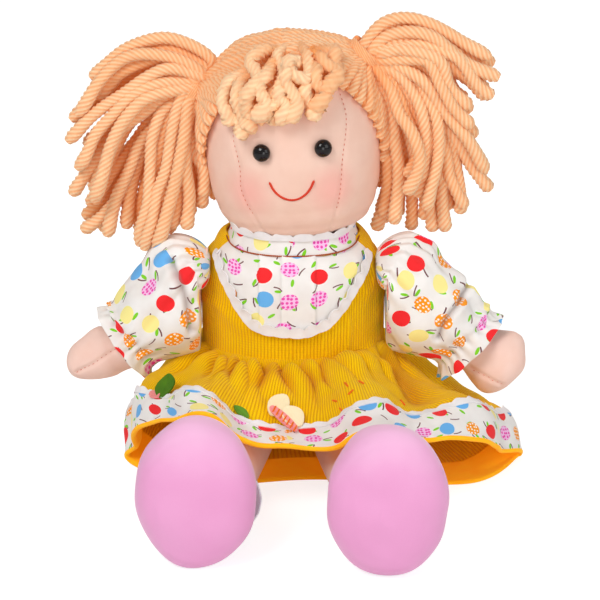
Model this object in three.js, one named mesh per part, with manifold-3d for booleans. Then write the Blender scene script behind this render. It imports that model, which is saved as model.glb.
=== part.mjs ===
import * as THREE from "three";
import { mergeVertices } from "three/addons/utils/BufferGeometryUtils.js";
import Module from "manifold-3d";

// A sitting rag doll with yarn bunches, a printed blouse and a corduroy pinafore dress.
// Millimetres, +Z up, the doll faces -Y, the floor is z = 0 and the origin is under the torso.

// Cloth and clearances
const clothThickness = 0.9;
const clearance = 0.3;
const floorCut = 0.5;
const seatHeight = clothThickness + clearance;

// Torso: sides, height and waist
const torsoHalfWidth = 43;
const torsoHalfDepth = 34;
const torsoHeight = 104;
const waistHeight = 54;
const necklineHeight = 101;
const bibLowHeight = 67;
const bandGap = 0.6;

// Head, neck and hair
const headHalfWidth = 41;
const headHalfDepth = 37;
const headHeight = 86;
const headShift = 2.7;
const headTiltDegrees = 4.5;
const neckRadius = 16;
const neckSink = 6;
const neckRise = 14.4;
const hairThickness = 5;
const bunchRootRadius = 9;
const bunchStubRadius = 6;
const bunchStubLength = 5;
const tieThickness = 2.4;
const tieLength = 3;
const bunchReach = 60;
const strandRadius = 7;
const fringeRadius = 4.4;

// Face
const eyeRadius = 4.1;
const eyeSpacing = 27.7;
const eyeDomeShare = 0.8;
const eyeHeight = 43.4;
const eyePostRadius = 1.4;
const eyePostLength = 7;
const washerRadius = 5;
const washerThickness = 1.2;
const washerDepth = 4;
const mouthHalfWidth = 10;
const mouthHeight = 29.2;
const mouthDrop = 8.6;
const threadRadius = 0.5;

// Arms and sleeves
const shoulderHeight = 94;
const shoulderForward = 11;
const armLength = 86;
const armRootRadius = 8;
const handHalfWidth = 14.4;
const sleeveHalfWidth = 22.5;
const gatherRadius = 14.7;
const elasticThickness = 1.6;
const elasticWidth = 3;

// Legs, socks and shoes
const legLength = 112;
const legRadius = 17.5;
const hipSpread = 21.5;
const hipForward = 13;
const hipHeight = 3.4;
const sockLength = 10;
const shoeHalfWidth = 26;
const shoeHalfHeight = 33.5;
const shoeLength = 42;
const shoeSpread = 40.5;
const shoePlaceShare = 0.893;
const shoeForward = hipForward + legLength * shoePlaceShare;

// Dress
const skirtReach = 100;
const foldDepth = 3.2;
const trimWidth = 4;
const ruffleWidth = 6.5;
const collarHeight = 7.5;
const petalLength = 17;
const petalHalfWidth = 5.5;
const leafLength = 13;
const leafHalfWidth = 4.5;
const budLength = 7;
const budHalfWidth = 2.4;
const feltThickness = 1.2;
const stitchRadius = 0.6;

const sides = { left: -1, right: 1 };
const colours = {
  skin: 0xf2cdb8,
  corduroy: 0xf2bd0c,
  print: 0xf4efe4,
  lace: 0xfbf8f0,
  yarn: 0xf3c48e,
  pink: 0xf0a3d6,
  red: 0xc8202c,
  black: 0x0c0c0e,
  washer: 0xe8e8e4,
  green: 0x2f6b30,
  paleGreen: 0x8ab04a,
  cream: 0xf7ead2,
  orange: 0xe88414,
};

const wasm = await Module();
wasm.setup();
const doll = new THREE.Group();
const head = new THREE.Group();
const headTilt = THREE.MathUtils.degToRad(headTiltDegrees);
const neckFlatRadius = Math.sqrt(neckRadius ** 2 - neckRise ** 2);
const neckTop = torsoHeight - neckSink + neckRise;
head.position.set(headShift, 0, neckTop + clearance + neckFlatRadius * Math.tan(headTilt));
head.rotation.y = -headTilt;
doll.add(head);

// Adds one named piece with its colour to a group.
function addPiece(name, geometry, colour, group = doll, roughness = 0.85) {
  const material = new THREE.MeshStandardMaterial({ color: colour, roughness, metalness: 0 });
  const mesh = new THREE.Mesh(geometry, material);
  mesh.name = name;
  group.add(mesh);
  return mesh;
}

// Closed bodies from points
function volumeOf(points, triangles) {
  let volume = 0;
  for (let i = 0; i < triangles.length; i += 3) {
    const [a, b, c] = [points[triangles[i]], points[triangles[i + 1]], points[triangles[i + 2]]];
    volume += a.dot(new THREE.Vector3().crossVectors(b, c)) / 6;
  }
  return volume;
}

function closedBody(points, triangles) {
  const facing = volumeOf(points, triangles) < 0 ? triangles.slice().reverse() : triangles;
  const geometry = new THREE.BufferGeometry();
  const numbers = points.flatMap((p) => [p.x, p.y, p.z]);
  geometry.setAttribute("position", new THREE.Float32BufferAttribute(numbers, 3));
  geometry.setIndex(facing);
  return geometry;
}

function addQuad(triangles, a, b, c, d) {
  triangles.push(a, b, c, a, c, d);
}

// A stuffed body: rings of points along it, closed by a fan at each end.
function stuffedBody(rings) {
  const count = rings[0].length;
  const points = rings.flat();
  const triangles = [];
  for (let r = 0; r + 1 < rings.length; r++) {
    for (let c = 0; c < count; c++) {
      const a = r * count + c;
      const b = r * count + ((c + 1) % count);
      addQuad(triangles, a, b, b + count, a + count);
    }
  }
  const first = points.length;
  points.push(centreOf(rings[0]), centreOf(rings[rings.length - 1]));
  const top = (rings.length - 1) * count;
  for (let c = 0; c < count; c++) {
    triangles.push(first, (c + 1) % count, c);
    triangles.push(first + 1, top + c, top + ((c + 1) % count));
  }
  return closedBody(points, triangles);
}

function centreOf(ring) {
  return ring.reduce((sum, p) => sum.add(p), new THREE.Vector3()).divideScalar(ring.length);
}

// A sheet of cloth as a closed body: one grid of points for each face.
function sheetBody(outer, inner, wraps) {
  const rows = outer.length;
  const columns = outer[0].length;
  const points = [...outer.flat(), ...inner.flat()];
  const back = rows * columns;
  const steps = wraps ? columns : columns - 1;
  const triangles = [];
  for (let r = 0; r + 1 < rows; r++) {
    for (let c = 0; c < steps; c++) {
      const a = r * columns + c;
      const b = r * columns + ((c + 1) % columns);
      addQuad(triangles, a, b, b + columns, a + columns);
      addQuad(triangles, back + b, back + a, back + a + columns, back + b + columns);
    }
    if (!wraps) {
      const a = r * columns;
      const b = a + columns - 1;
      addQuad(triangles, a, a + columns, back + a + columns, back + a);
      addQuad(triangles, b + columns, b, back + b, back + b + columns);
    }
  }
  for (let c = 0; c < steps; c++) {
    const next = (c + 1) % columns;
    const last = (rows - 1) * columns;
    addQuad(triangles, next, c, back + c, back + next);
    addQuad(triangles, last + c, last + next, back + last + next, back + last + c);
  }
  return closedBody(points, triangles);
}

// Booleans
function toSolid(geometry) {
  const bare = geometry.clone();
  bare.deleteAttribute("normal");
  bare.deleteAttribute("uv");
  const merged = mergeVertices(bare);
  const mesh = new wasm.Mesh({
    numProp: 3,
    vertProperties: merged.attributes.position.array,
    triVerts: new Uint32Array(merged.index.array),
  });
  return new wasm.Manifold(mesh);
}

function toGeometry(solid) {
  const mesh = solid.getMesh();
  const geometry = new THREE.BufferGeometry();
  geometry.setAttribute("position", new THREE.BufferAttribute(mesh.vertProperties, 3));
  geometry.setIndex(new THREE.BufferAttribute(mesh.triVerts, 1));
  return geometry;
}

// Joins solids and fills what they enclose.
function joined(geometries) {
  const all = geometries.map(toSolid).reduce((sum, one) => sum.add(one));
  const shells = all.decompose();
  return toGeometry(shells.reduce((most, one) => (one.volume() > most.volume() ? one : most)));
}

function cutBy(geometry, cutters) {
  return toGeometry(cutters.map(toSolid).reduce((left, one) => left.subtract(one), toSolid(geometry)));
}

// A cylinder from its base along a direction.
function postAt(base, direction, radius, length, facets = 10) {
  const post = new THREE.CylinderGeometry(radius, radius, length, facets);
  post.translate(0, length / 2, 0);
  const turn = new THREE.Quaternion().setFromUnitVectors(new THREE.Vector3(0, 1, 0), direction);
  post.applyQuaternion(turn);
  return post.translate(base.x, base.y, base.z);
}

// A ring with a round bore, its middle plane at a point and its axis along a direction.
function ringAt(centre, direction, bore, outer, width, facets = 16) {
  const half = width / 2;
  const outline = [
    new THREE.Vector2(bore, -half),
    new THREE.Vector2(outer, -half),
    new THREE.Vector2(outer, half),
    new THREE.Vector2(bore, half),
    new THREE.Vector2(bore, -half),
  ];
  const ring = new THREE.LatheGeometry(outline, facets);
  const turn = new THREE.Quaternion().setFromUnitVectors(new THREE.Vector3(0, 1, 0), direction);
  ring.applyQuaternion(turn);
  return ring.translate(centre.x, centre.y, centre.z);
}

// Reads a table of rows by straight lines between them; the first value is the place.
function readRow(rows, place) {
  let i = 0;
  while (i + 2 < rows.length && place > rows[i + 1][0]) i++;
  const [low, high] = [rows[i], rows[i + 1]];
  const t = THREE.MathUtils.clamp((place - low[0]) / (high[0] - low[0]), 0, 1);
  return low.map((value, k) => value + (high[k] - value) * t);
}

// Points along a limb, with its half width and half depth at each step.
function limbRings(centres, sizes, depthAxis, facets, steps) {
  const path = new THREE.CatmullRomCurve3(centres);
  const rings = [];
  for (let i = 0; i <= steps; i++) {
    const t = i / steps;
    const centre = path.getPoint(t);
    const along = path.getTangent(t);
    const across = new THREE.Vector3().crossVectors(along, depthAxis).normalize();
    const deep = new THREE.Vector3().crossVectors(across, along);
    const [, halfWidth, halfDepth] = readRow(sizes, t);
    rings.push(ellipseRing(centre, across, deep, halfWidth, halfDepth, facets));
  }
  return rings;
}

function ellipseRing(centre, across, deep, halfWidth, halfDepth, facets) {
  return Array.from({ length: facets }, (_, c) => {
    const angle = (c / facets) * 2 * Math.PI;
    return centre
      .clone()
      .addScaledVector(across, halfWidth * Math.cos(angle))
      .addScaledVector(deep, halfDepth * Math.sin(angle));
  });
}

// Torso form: height, half width, half depth and lean of each level
const torsoShares = [
  [0, 0.8, 0.58, 0.24],
  [0.04, 0.92, 0.72, 0.17],
  [0.12, 1, 0.86, 0.1],
  [0.24, 1, 0.96, 0.03],
  [0.38, 0.98, 1, 0],
  [0.51, 0.955, 0.97, 0],
  [0.7, 0.955, 0.985, 0],
  [0.84, 0.94, 0.95, 0],
  [0.93, 0.87, 0.88, 0],
  [0.97, 0.79, 0.81, 0],
  [1, 0.68, 0.72, 0],
];
const torsoFacets = 20;
const slopeStepShare = 0.02;
const edgeLimitShare = 0.95;

function torsoShareAt(height) {
  return (height - seatHeight) / (torsoHeight - seatHeight);
}

// A point on the torso, lifted off it: angle 0 is the front and 90 degrees the +X side.
function torsoPoint(share, angle, lift) {
  const [, width, depth, lean] = readRow(torsoShares, share);
  const step = slopeStepShare;
  const [below, above] = [readRow(torsoShares, share - step), readRow(torsoShares, share + step)];
  const rise = (Math.min(share + step, 1) - Math.max(share - step, 0)) * (torsoHeight - seatHeight);
  const slope = ((above[1] - below[1]) * torsoHalfWidth) / rise;
  const normal = new THREE.Vector2(1, -slope).normalize();
  const [rx, ry] = [width * torsoHalfWidth + lift * normal.x, depth * torsoHalfDepth + lift * normal.x];
  return new THREE.Vector3(
    rx * Math.sin(angle),
    lean * torsoHalfDepth - ry * Math.cos(angle),
    seatHeight + share * (torsoHeight - seatHeight) + lift * normal.y,
  );
}

function torsoRing(share, lift, facets = torsoFacets) {
  return Array.from({ length: facets }, (_, c) => torsoPoint(share, (c / facets) * 2 * Math.PI, lift));
}

function torsoForm(lift) {
  return stuffedBody(torsoShares.map(([share]) => torsoRing(share, lift)));
}

// A patch of cloth on the torso, between two lifts, from a half angle that varies with height.
function torsoPatch(lowShare, highShare, edgesAt, lift, thickness, rows, columns) {
  const grids = [lift + thickness, lift].map((height) =>
    Array.from({ length: rows + 1 }, (_, r) => {
      const v = r / rows;
      const share = lowShare + (highShare - lowShare) * v;
      const [from, to] = edgesAt(v, share);
      return Array.from({ length: columns + 1 }, (_, c) =>
        torsoPoint(share, from + ((to - from) * c) / columns, height),
      );
    }),
  );
  return sheetBody(grids[0], grids[1], false);
}

const neckCentre = new THREE.Vector3(0, 0, torsoHeight - neckSink);

function addTorso() {
  const [round, down] = [16, 10];
  const facetShare = Math.cos(Math.PI / round) * Math.cos(Math.PI / (2 * down));
  const socket = new THREE.SphereGeometry((neckRadius + clearance) / facetShare, round, down);
  socket.translate(neckCentre.x, neckCentre.y, neckCentre.z);
  addPiece("torso", cutBy(torsoForm(0), [socket]), colours.skin);
}

function addNeck() {
  const highest = Math.atan2(neckRise, neckFlatRadius);
  const steps = 7;
  const outline = [new THREE.Vector2(0, -neckRadius)];
  for (let i = 1; i <= steps; i++) {
    const angle = -Math.PI / 2 + ((highest + Math.PI / 2) * i) / steps;
    outline.push(new THREE.Vector2(neckRadius * Math.cos(angle), neckRadius * Math.sin(angle)));
  }
  outline.push(new THREE.Vector2(0, neckRise));
  const neck = new THREE.LatheGeometry(outline, 16);
  neck.rotateX(Math.PI / 2);
  addPiece("neck", neck.translate(neckCentre.x, neckCentre.y, neckCentre.z), colours.skin);
}

// Bodice, bib and collar
const bodiceLift = clearance;
const bibLift = bodiceLift + clothThickness + clearance * 3;
const ruffleLift = bibLift + clothThickness + clearance * 2;

function addBodice() {
  const shares = torsoShares.map(([share]) => share);
  const low = torsoShareAt(waistHeight);
  const high = torsoShareAt(necklineHeight);
  const levels = [low, ...shares.filter((share) => share > low && share < high), high];
  const [inner, outer] = [bodiceLift, bodiceLift + clothThickness].map((lift) =>
    levels.map((share) => torsoRing(share, lift)),
  );
  const holes = Object.values(sides).map((sign) => {
    const start = new THREE.Vector3(0, -shoulderForward, shoulderHeight);
    const length = torsoHalfWidth + clothThickness * 2;
    return postAt(start, new THREE.Vector3(sign, 0, 0), armRootRadius + clearance * 2, length, 16);
  });
  addPiece("bodice", cutBy(sheetBody(outer, inner, true), holes), colours.corduroy);
}

// Half width of the bib from its round bottom edge to its top, as shares of the torso's half width
const bibShares = [
  [0, 0.12],
  [0.08, 0.34],
  [0.25, 0.5],
  [0.5, 0.64],
  [0.75, 0.76],
  [1, 0.84],
];

function bibAngle(v, share) {
  const [, halfWidth] = readRow(bibShares, v);
  const [, width] = readRow(torsoShares, share);
  return Math.asin(Math.min(halfWidth / width, edgeLimitShare));
}

function addBib() {
  const low = torsoShareAt(bibLowHeight);
  const high = torsoShareAt(necklineHeight);
  const edges = (v, share) => [-bibAngle(v, share), bibAngle(v, share)];
  addPiece("bib", torsoPatch(low, high, edges, bibLift, clothThickness, 6, 10), colours.print);
  addBibRuffle(low, high);
}

// The scalloped ruffle follows the bib's edge in a U, lifted over it.
function addBibRuffle(low, high) {
  const edge = [];
  const rows = 9;
  const endShare = 0.92;
  for (let r = rows; r >= 0; r--) edge.push([(r / rows) * endShare, -1]);
  for (let r = 0; r <= rows; r++) edge.push([(r / rows) * endShare, 1]);
  const route = edge.map(([v, sign]) => {
    const share = low + (high - low) * v;
    return torsoPoint(share, sign * bibAngle(v, share), ruffleLift);
  });
  const path = new THREE.CatmullRomCurve3(route);
  const steps = 32;
  const grids = [clothThickness, 0].map((lift) =>
    Array.from({ length: steps + 1 }, (_, i) => {
      const spot = path.getPoint(i / steps);
      const along = path.getTangent(i / steps);
      const out = new THREE.Vector3(spot.x, spot.y, 0).normalize();
      const across = new THREE.Vector3().crossVectors(out, along).normalize();
      const wave = (i % 2) * clothThickness;
      return [-1, 0, 1].map((k) =>
        spot
          .clone()
          .addScaledVector(across, (-k * ruffleWidth) / 2)
          .addScaledVector(out, lift + (k === 1 ? wave : 0) + clearance * Math.abs(k)),
      );
    }),
  );
  addPiece("bib_ruffle", sheetBody(grids[0], grids[1], false), colours.lace);
}

function addCollar() {
  const share = torsoShareAt(necklineHeight);
  const foot = bodiceLift + clothThickness + clearance * 2;
  const rows = 3;
  const grids = [clothThickness, 0].map((lift) =>
    Array.from({ length: rows + 1 }, (_, r) => {
      const up = r / rows;
      return torsoRing(share, foot + lift).map((p) => {
        const draw = 1 - (up * ruffleWidth) / torsoHalfWidth;
        return new THREE.Vector3(p.x * draw, p.y * draw, p.z + bandGap + up * collarHeight);
      });
    }),
  );
  addPiece("collar_band", sheetBody(grids[0], grids[1], true), colours.print);
  const facets = 40;
  const ruffle = [clothThickness, 0].map((lift) =>
    [0, 1].map((out) =>
      torsoRing(share, foot + clothThickness + clearance, facets).map((p, c) => {
        const flat = new THREE.Vector3(p.x, p.y, 0).normalize();
        const wave = c % 2 ? clothThickness : 0;
        const reach = out * (ruffleWidth - wave);
        const spot = p.clone().addScaledVector(flat, reach);
        spot.z += bandGap * 2 + lift + out * wave;
        return spot;
      }),
    ),
  );
  addPiece("collar_ruffle", sheetBody(ruffle[0], ruffle[1], true), colours.lace);
}

// Straps of the pinafore over the shoulders
function addStraps() {
  const high = torsoShareAt(necklineHeight);
  const low = high - (torsoShareAt(torsoHeight) - high) * 2;
  const [fromShare, toShare] = [0.44, 0.8];
  for (const [name, sign] of Object.entries(sides)) {
    const edges = () => [sign * Math.PI * fromShare, sign * Math.PI * toShare];
    const strap = torsoPatch(low, high, edges, bibLift, clothThickness, 2, 10);
    addPiece("shoulder_strap_" + name, strap, colours.corduroy);
  }
}

// Skirt form: rings from the waist to the hem in twelve columns from the front towards +X,
// as shares of the skirt's reach, each [across, back, up]
const skirtShares = [
  [
    [-0.01, -0.43, 0.555], [0.23, -0.41, 0.565], [0.42, -0.27, 0.53], [0.49, -0.04, 0.47],
    [0.49, 0.18, 0.44], [0.33, 0.36, 0.38], [0, 0.42, 0.34], [-0.3, 0.37, 0.38],
    [-0.48, 0.18, 0.44], [-0.49, -0.04, 0.47], [-0.43, -0.24, 0.52], [-0.26, -0.4, 0.565],
  ],
  [
    [-0.02, -0.51, 0.515], [0.24, -0.52, 0.55], [0.47, -0.38, 0.49], [0.6, -0.13, 0.4],
    [0.66, 0.18, 0.32], [0.5, 0.38, 0.05], [0.02, 0.42, 0.03], [-0.38, 0.4, 0.04],
    [-0.57, 0.18, 0.32], [-0.6, -0.1, 0.42], [-0.51, -0.34, 0.48], [-0.31, -0.5, 0.55],
  ],
  [
    [-0.03, -0.62, 0.44], [0.26, -0.66, 0.52], [0.54, -0.52, 0.47], [0.76, -0.28, 0.35],
    [0.86, 0.08, 0.2], [0.62, 0.08, 0], [0.04, 0.1, 0], [-0.38, 0.06, 0],
    [-0.68, 0.1, 0.2], [-0.7, -0.18, 0.4], [-0.58, -0.43, 0.47], [-0.36, -0.63, 0.53],
  ],
  [
    [-0.04, -0.76, 0.355], [0.28, -0.84, 0.485], [0.62, -0.69, 0.43], [0.92, -0.42, 0.33],
    [1.03, -0.06, 0.12], [0.76, -0.3, 0], [0.08, -0.24, 0], [-0.42, -0.3, 0],
    [-0.76, -0.08, 0.12], [-0.74, -0.28, 0.34], [-0.64, -0.56, 0.45], [-0.4, -0.8, 0.525],
  ],
  [
    [-0.02, -0.9, 0.33], [0.3, -1.04, 0.44], [0.66, -0.88, 0.38], [0.96, -0.52, 0.17],
    [1.09, -0.22, 0.01], [0.82, -0.54, 0], [0.1, -0.49, 0], [-0.45, -0.56, 0],
    [-0.76, -0.34, 0.02], [-0.76, -0.4, 0.14], [-0.62, -0.74, 0.4], [-0.38, -0.99, 0.5],
  ],
];
const skirtColumns = 48;
const bandStartShare = 0.8;
const skirtStepShare = 0.01;
const foldFadeShare = 5;
const foldGrowthShare = 1.6;

// Main folds: place round the waist, spread and depth, each a share
const foldShares = [
  [0.055, 0.022, -1],
  [0.105, 0.03, 0.9],
  [0.15, 0.026, -1.2],
  [0.21, 0.03, 0.8],
  [0.27, 0.024, -0.8],
  [0.36, 0.04, 0.7],
  [0.43, 0.03, -0.8],
  [0.5, 0.035, 0.8],
  [0.58, 0.03, -0.8],
  [0.66, 0.035, 0.7],
  [0.74, 0.026, -0.8],
  [0.8, 0.028, 0.8],
  [0.855, 0.022, -0.9],
  [0.905, 0.026, 0.9],
  [0.955, 0.02, -0.9],
];

function foldAt(u) {
  return foldShares.reduce((sum, [place, spread, depth]) => {
    const away = Math.abs(u - place);
    const near = Math.min(away, 1 - away) / spread;
    return sum + depth * Math.exp(-near * near);
  }, 0);
}

function skirtRings() {
  const waist = skirtShares[0].map((_, k, places) => {
    const angle = (k / places.length) * 2 * Math.PI;
    const point = torsoPoint(torsoShareAt(waistHeight), angle, skirtWaistLift);
    point.z = waistHeight - clearance * 2;
    return point;
  });
  const lower = skirtShares.map((ring) =>
    ring.map((place) => new THREE.Vector3(...place).multiplyScalar(skirtReach)),
  );
  return [waist, ...lower].map((ring) => new THREE.CatmullRomCurve3(ring, true, "catmullrom"));
}

const skirtWaistLift = clearance * 2 + clothThickness / 2;
const skirtCurves = skirtRings();

// The cloth's middle surface, u round the waist and v from the waist to the hem, before its folds
function plainSkirtPoint(u, v) {
  const column = new THREE.CatmullRomCurve3(skirtCurves.map((ring) => ring.getPoint(u)));
  const point = column.getPoint(v);
  point.z = Math.max(point.z, clothThickness / 2);
  return point;
}

function skirtNormal(pointAt, u, v) {
  const step = skirtStepShare;
  const round = pointAt((u + step) % 1, v).sub(pointAt((u - step + 1) % 1, v));
  const down = pointAt(u, Math.min(v + step, 1)).sub(pointAt(u, Math.max(v - step, 0)));
  return new THREE.Vector3().crossVectors(down, round).normalize();
}

function foldedSkirtPoint(u, v) {
  const point = plainSkirtPoint(u, v);
  const normal = skirtNormal(plainSkirtPoint, u, v);
  const fadeHeight = clothThickness + foldDepth * foldFadeShare;
  const free = THREE.MathUtils.smoothstep(point.z, clothThickness, fadeHeight);
  const grown = Math.sin(Math.min(v * foldGrowthShare, 1) * (Math.PI / 2));
  return point.addScaledVector(normal, foldAt(u) * foldDepth * grown * free);
}

// A point of the skirt's cloth, lifted off its middle surface and kept on or above the floor
function skirtPoint(u, v, lift) {
  const normal = skirtNormal(foldedSkirtPoint, u, v);
  const point = foldedSkirtPoint(u, v).addScaledVector(normal, lift);
  const onFloor = clothThickness / 2 - lift;
  point.z = Math.max(point.z, Math.max(onFloor, 0));
  return point;
}

function skirtSheet(from, to, rows) {
  const grids = [clothThickness / 2, -clothThickness / 2].map((lift) =>
    Array.from({ length: rows + 1 }, (_, r) =>
      Array.from({ length: skirtColumns }, (_, c) =>
        skirtPoint(c / skirtColumns, from + ((to - from) * r) / rows, lift),
      ),
    ),
  );
  return sheetBody(grids[0], grids[1], true);
}

function addSkirt() {
  const seam = bandGap / skirtReach;
  const trim = trimWidth / skirtReach;
  addPiece("skirt", skirtSheet(0, bandStartShare - trim, 8), colours.corduroy);
  addPiece("hem_trim", skirtSheet(bandStartShare - trim + seam, bandStartShare, 1), colours.lace);
  addPiece("hem_band", skirtSheet(bandStartShare + seam, 1, 2), colours.print);
}

// Felt shapes on the skirt: place round and down, as shares, turn and clearances lifted
const petalSize = { length: petalLength, halfWidth: petalHalfWidth, colour: colours.cream };
const leafSize = { length: leafLength, halfWidth: leafHalfWidth, colour: colours.green };
const budSize = { length: budLength, halfWidth: budHalfWidth, colour: colours.paleGreen };
const feltShares = {
  leaf_large: { u: 0.868, v: 0.62, turn: 0.35, lifts: 4, ...leafSize },
  leaf_small: { u: 0.955, v: 0.56, turn: 1.2, lifts: 5, ...budSize },
  petal_left: { u: 0.985, v: 0.6, turn: -0.5, lifts: 4, ...petalSize },
  petal_right: { u: 0.03, v: 0.6, turn: 0.3, lifts: 4, ...petalSize },
};
const feltRoundShare = 0.7;
const feltTipShare = 0.08;

function addFelt(name, { u, v, turn, lifts, length, halfWidth, colour }) {
  const lift = clothThickness / 2 + clearance * lifts;
  const origin = skirtPoint(u, v, lift);
  const across = skirtPoint(u + skirtStepShare, v, lift).sub(origin).normalize();
  const normal = skirtNormal(foldedSkirtPoint, u, v);
  const down = new THREE.Vector3().crossVectors(across, normal).negate();
  const along = down.clone().multiplyScalar(Math.cos(turn)).addScaledVector(across, Math.sin(turn));
  const side = new THREE.Vector3().crossVectors(normal, along);
  const rows = 6;
  const grids = [feltThickness, 0].map((height) =>
    Array.from({ length: rows + 1 }, (_, r) => {
      const t = r / rows;
      const half = Math.max(Math.sin(Math.PI * t) ** feltRoundShare, feltTipShare) * halfWidth;
      return [-1, 0, 1].map((k) =>
        origin
          .clone()
          .addScaledVector(along, (0.5 - t) * length)
          .addScaledVector(side, k * half)
          .addScaledVector(normal, height),
      );
    }),
  );
  addPiece(name, sheetBody(grids[0], grids[1], false), colour);
}

// Zigzag of loose stitches: first place round the skirt, step, place down and zigzag
const stitchShares = { from: 0.085, step: 0.012, down: 0.62, zigzag: 0.02 };

function addStitches() {
  const lift = clothThickness / 2 + stitchRadius + clearance * 2;
  const count = 7;
  const route = Array.from({ length: count }, (_, i) => {
    const zigzag = i % 2 ? stitchShares.zigzag : -stitchShares.zigzag;
    return skirtPoint(stitchShares.from + i * stitchShares.step, stitchShares.down + zigzag, lift);
  });
  const path = new THREE.CatmullRomCurve3(route);
  addPiece("skirt_stitches", tubeAlong(path, stitchRadius, 18, 5), colours.orange);
}

// A tube along a curve, extruded with closed ends
function tubeAlong(path, radius, steps, facets) {
  const section = new THREE.Shape();
  for (let i = 0; i < facets; i++) {
    const angle = (i / facets) * 2 * Math.PI;
    const [x, y] = [radius * Math.cos(angle), radius * Math.sin(angle)];
    if (i) section.lineTo(x, y);
    else section.moveTo(x, y);
  }
  section.closePath();
  return new THREE.ExtrudeGeometry(section, { extrudePath: path, steps, bevelEnabled: false });
}

// Head form: height and half width of each level, as shares
const headShares = [
  [0, 0.4],
  [0.02, 0.63],
  [0.07, 0.81],
  [0.16, 0.93],
  [0.3, 0.985],
  [0.44, 1],
  [0.58, 0.985],
  [0.7, 0.925],
  [0.8, 0.82],
  [0.88, 0.67],
  [0.95, 0.45],
  [1, 0.05],
];
const headFacets = 20;
const headStepShare = 0.015;

// A point on the head in its own frame, lifted off it; angle 0 is the face.
function headPoint(share, angle, lift) {
  const [, width] = readRow(headShares, share);
  const step = headStepShare;
  const [below, above] = [readRow(headShares, share - step), readRow(headShares, share + step)];
  const rise = (Math.min(share + step, 1) - Math.max(share - step, 0)) * headHeight;
  const normal = new THREE.Vector2(rise, (below[1] - above[1]) * headHalfWidth).normalize();
  return new THREE.Vector3(
    (width * headHalfWidth + lift * normal.x) * Math.sin(angle),
    -(width * headHalfDepth + lift * normal.x) * Math.cos(angle),
    share * headHeight + lift * normal.y,
  );
}

function headForm(lift) {
  return stuffedBody(headShares.map(([share]) => headRing(() => share, lift)));
}

function headRing(shareAt, lift, facets = headFacets) {
  return Array.from({ length: facets }, (_, c) => {
    const angle = (c / facets) * 2 * Math.PI;
    return headPoint(shareAt(angle), angle, lift);
  });
}

// A point on the face at a given place across and up
function facePoint(across, up, lift) {
  const [, width] = readRow(headShares, up / headHeight);
  const angle = Math.asin(across / (width * headHalfWidth));
  return headPoint(up / headHeight, angle, lift);
}

function eyePlace(sign, lift) {
  return facePoint((sign * eyeSpacing) / 2, eyeHeight, lift);
}

function eyeAxis(sign) {
  return eyePlace(sign, clearance).sub(eyePlace(sign, 0)).normalize();
}

function addHeadAndEyes() {
  const pockets = [];
  for (const [name, sign] of Object.entries(sides)) {
    const axis = eyeAxis(sign);
    const skin = eyePlace(sign, 0);
    const back = skin.clone().addScaledVector(axis, -washerDepth - washerThickness - clearance * 2);
    pockets.push(postAt(back, axis, washerRadius + clearance, washerThickness + clearance * 2, 14));
    const postBack = skin.clone().addScaledVector(axis, -eyePostLength - clearance);
    pockets.push(postAt(postBack, axis, eyePostRadius + clearance, eyePostLength * 2));
    addEye(name, skin, axis);
  }
  addPiece("head", cutBy(headForm(0), pockets), colours.skin, head);
}

function addEye(name, skin, axis) {
  const domeRise = eyeRadius * eyeDomeShare;
  const outline = [new THREE.Vector2(0, clearance + clearance)];
  const steps = 4;
  for (let i = 0; i <= steps; i++) {
    const angle = (i / steps) * (Math.PI / 2);
    const rise = clearance * 3 + domeRise * Math.sin(angle);
    outline.push(new THREE.Vector2(eyeRadius * Math.cos(angle), rise));
  }
  outline[outline.length - 1].x = 0;
  const dome = new THREE.LatheGeometry(outline, 14);
  const turn = new THREE.Quaternion().setFromUnitVectors(new THREE.Vector3(0, 1, 0), axis);
  dome.applyQuaternion(turn).translate(skin.x, skin.y, skin.z);
  const postBase = skin.clone().addScaledVector(axis, -eyePostLength);
  const post = postAt(postBase, axis, eyePostRadius, eyePostLength + clearance * 4);
  addPiece("eye_" + name, joined([dome, post]), colours.black, head, 0.08);
  const washerAt = skin.clone().addScaledVector(axis, -washerDepth - washerThickness / 2 - clearance);
  const washer = ringAt(washerAt, axis, eyePostRadius + clearance / 2, washerRadius, washerThickness);
  addPiece("eye_washer_" + name, washer, colours.washer, head, 0.5);
}

function addMouth() {
  const steps = 8;
  const lift = threadRadius + clearance * 2;
  const route = Array.from({ length: steps + 1 }, (_, i) => {
    const across = (i / steps) * 2 - 1;
    const up = mouthHeight - mouthDrop * (1 - across * across);
    return facePoint(across * mouthHalfWidth, up, lift);
  });
  const path = new THREE.CatmullRomCurve3(route);
  addPiece("mouth_stitch", tubeAlong(path, threadRadius, 16, 5), colours.red, head);
}

// Hair cap: its lower edge by angle from the face (0) to the nape (1), as a share of the head
const hairEdgeShares = [
  [0, 0.84],
  [0.24, 0.78],
  [0.35, 0.6],
  [0.42, 0.46],
  [0.47, 0.34],
  [0.55, 0.18],
  [0.75, 0.1],
  [1, 0.08],
];
const tieShares = { left: 0.73, right: 0.84 };

function hairEdge(angle) {
  const turn = Math.abs(((angle + Math.PI) % (2 * Math.PI)) - Math.PI) / Math.PI;
  return readRow(hairEdgeShares, turn)[1];
}

function hairRing(t, lift) {
  return headRing((angle) => 1 - (1 - hairEdge(angle)) * t, lift);
}

function tieRoot(name) {
  const sign = sides[name];
  const angle = (sign * Math.PI) / 2;
  const skin = headPoint(tieShares[name], angle, clearance + hairThickness);
  const axis = skin.clone().sub(headPoint(tieShares[name], angle, clearance)).normalize();
  return { skin, axis };
}

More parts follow.
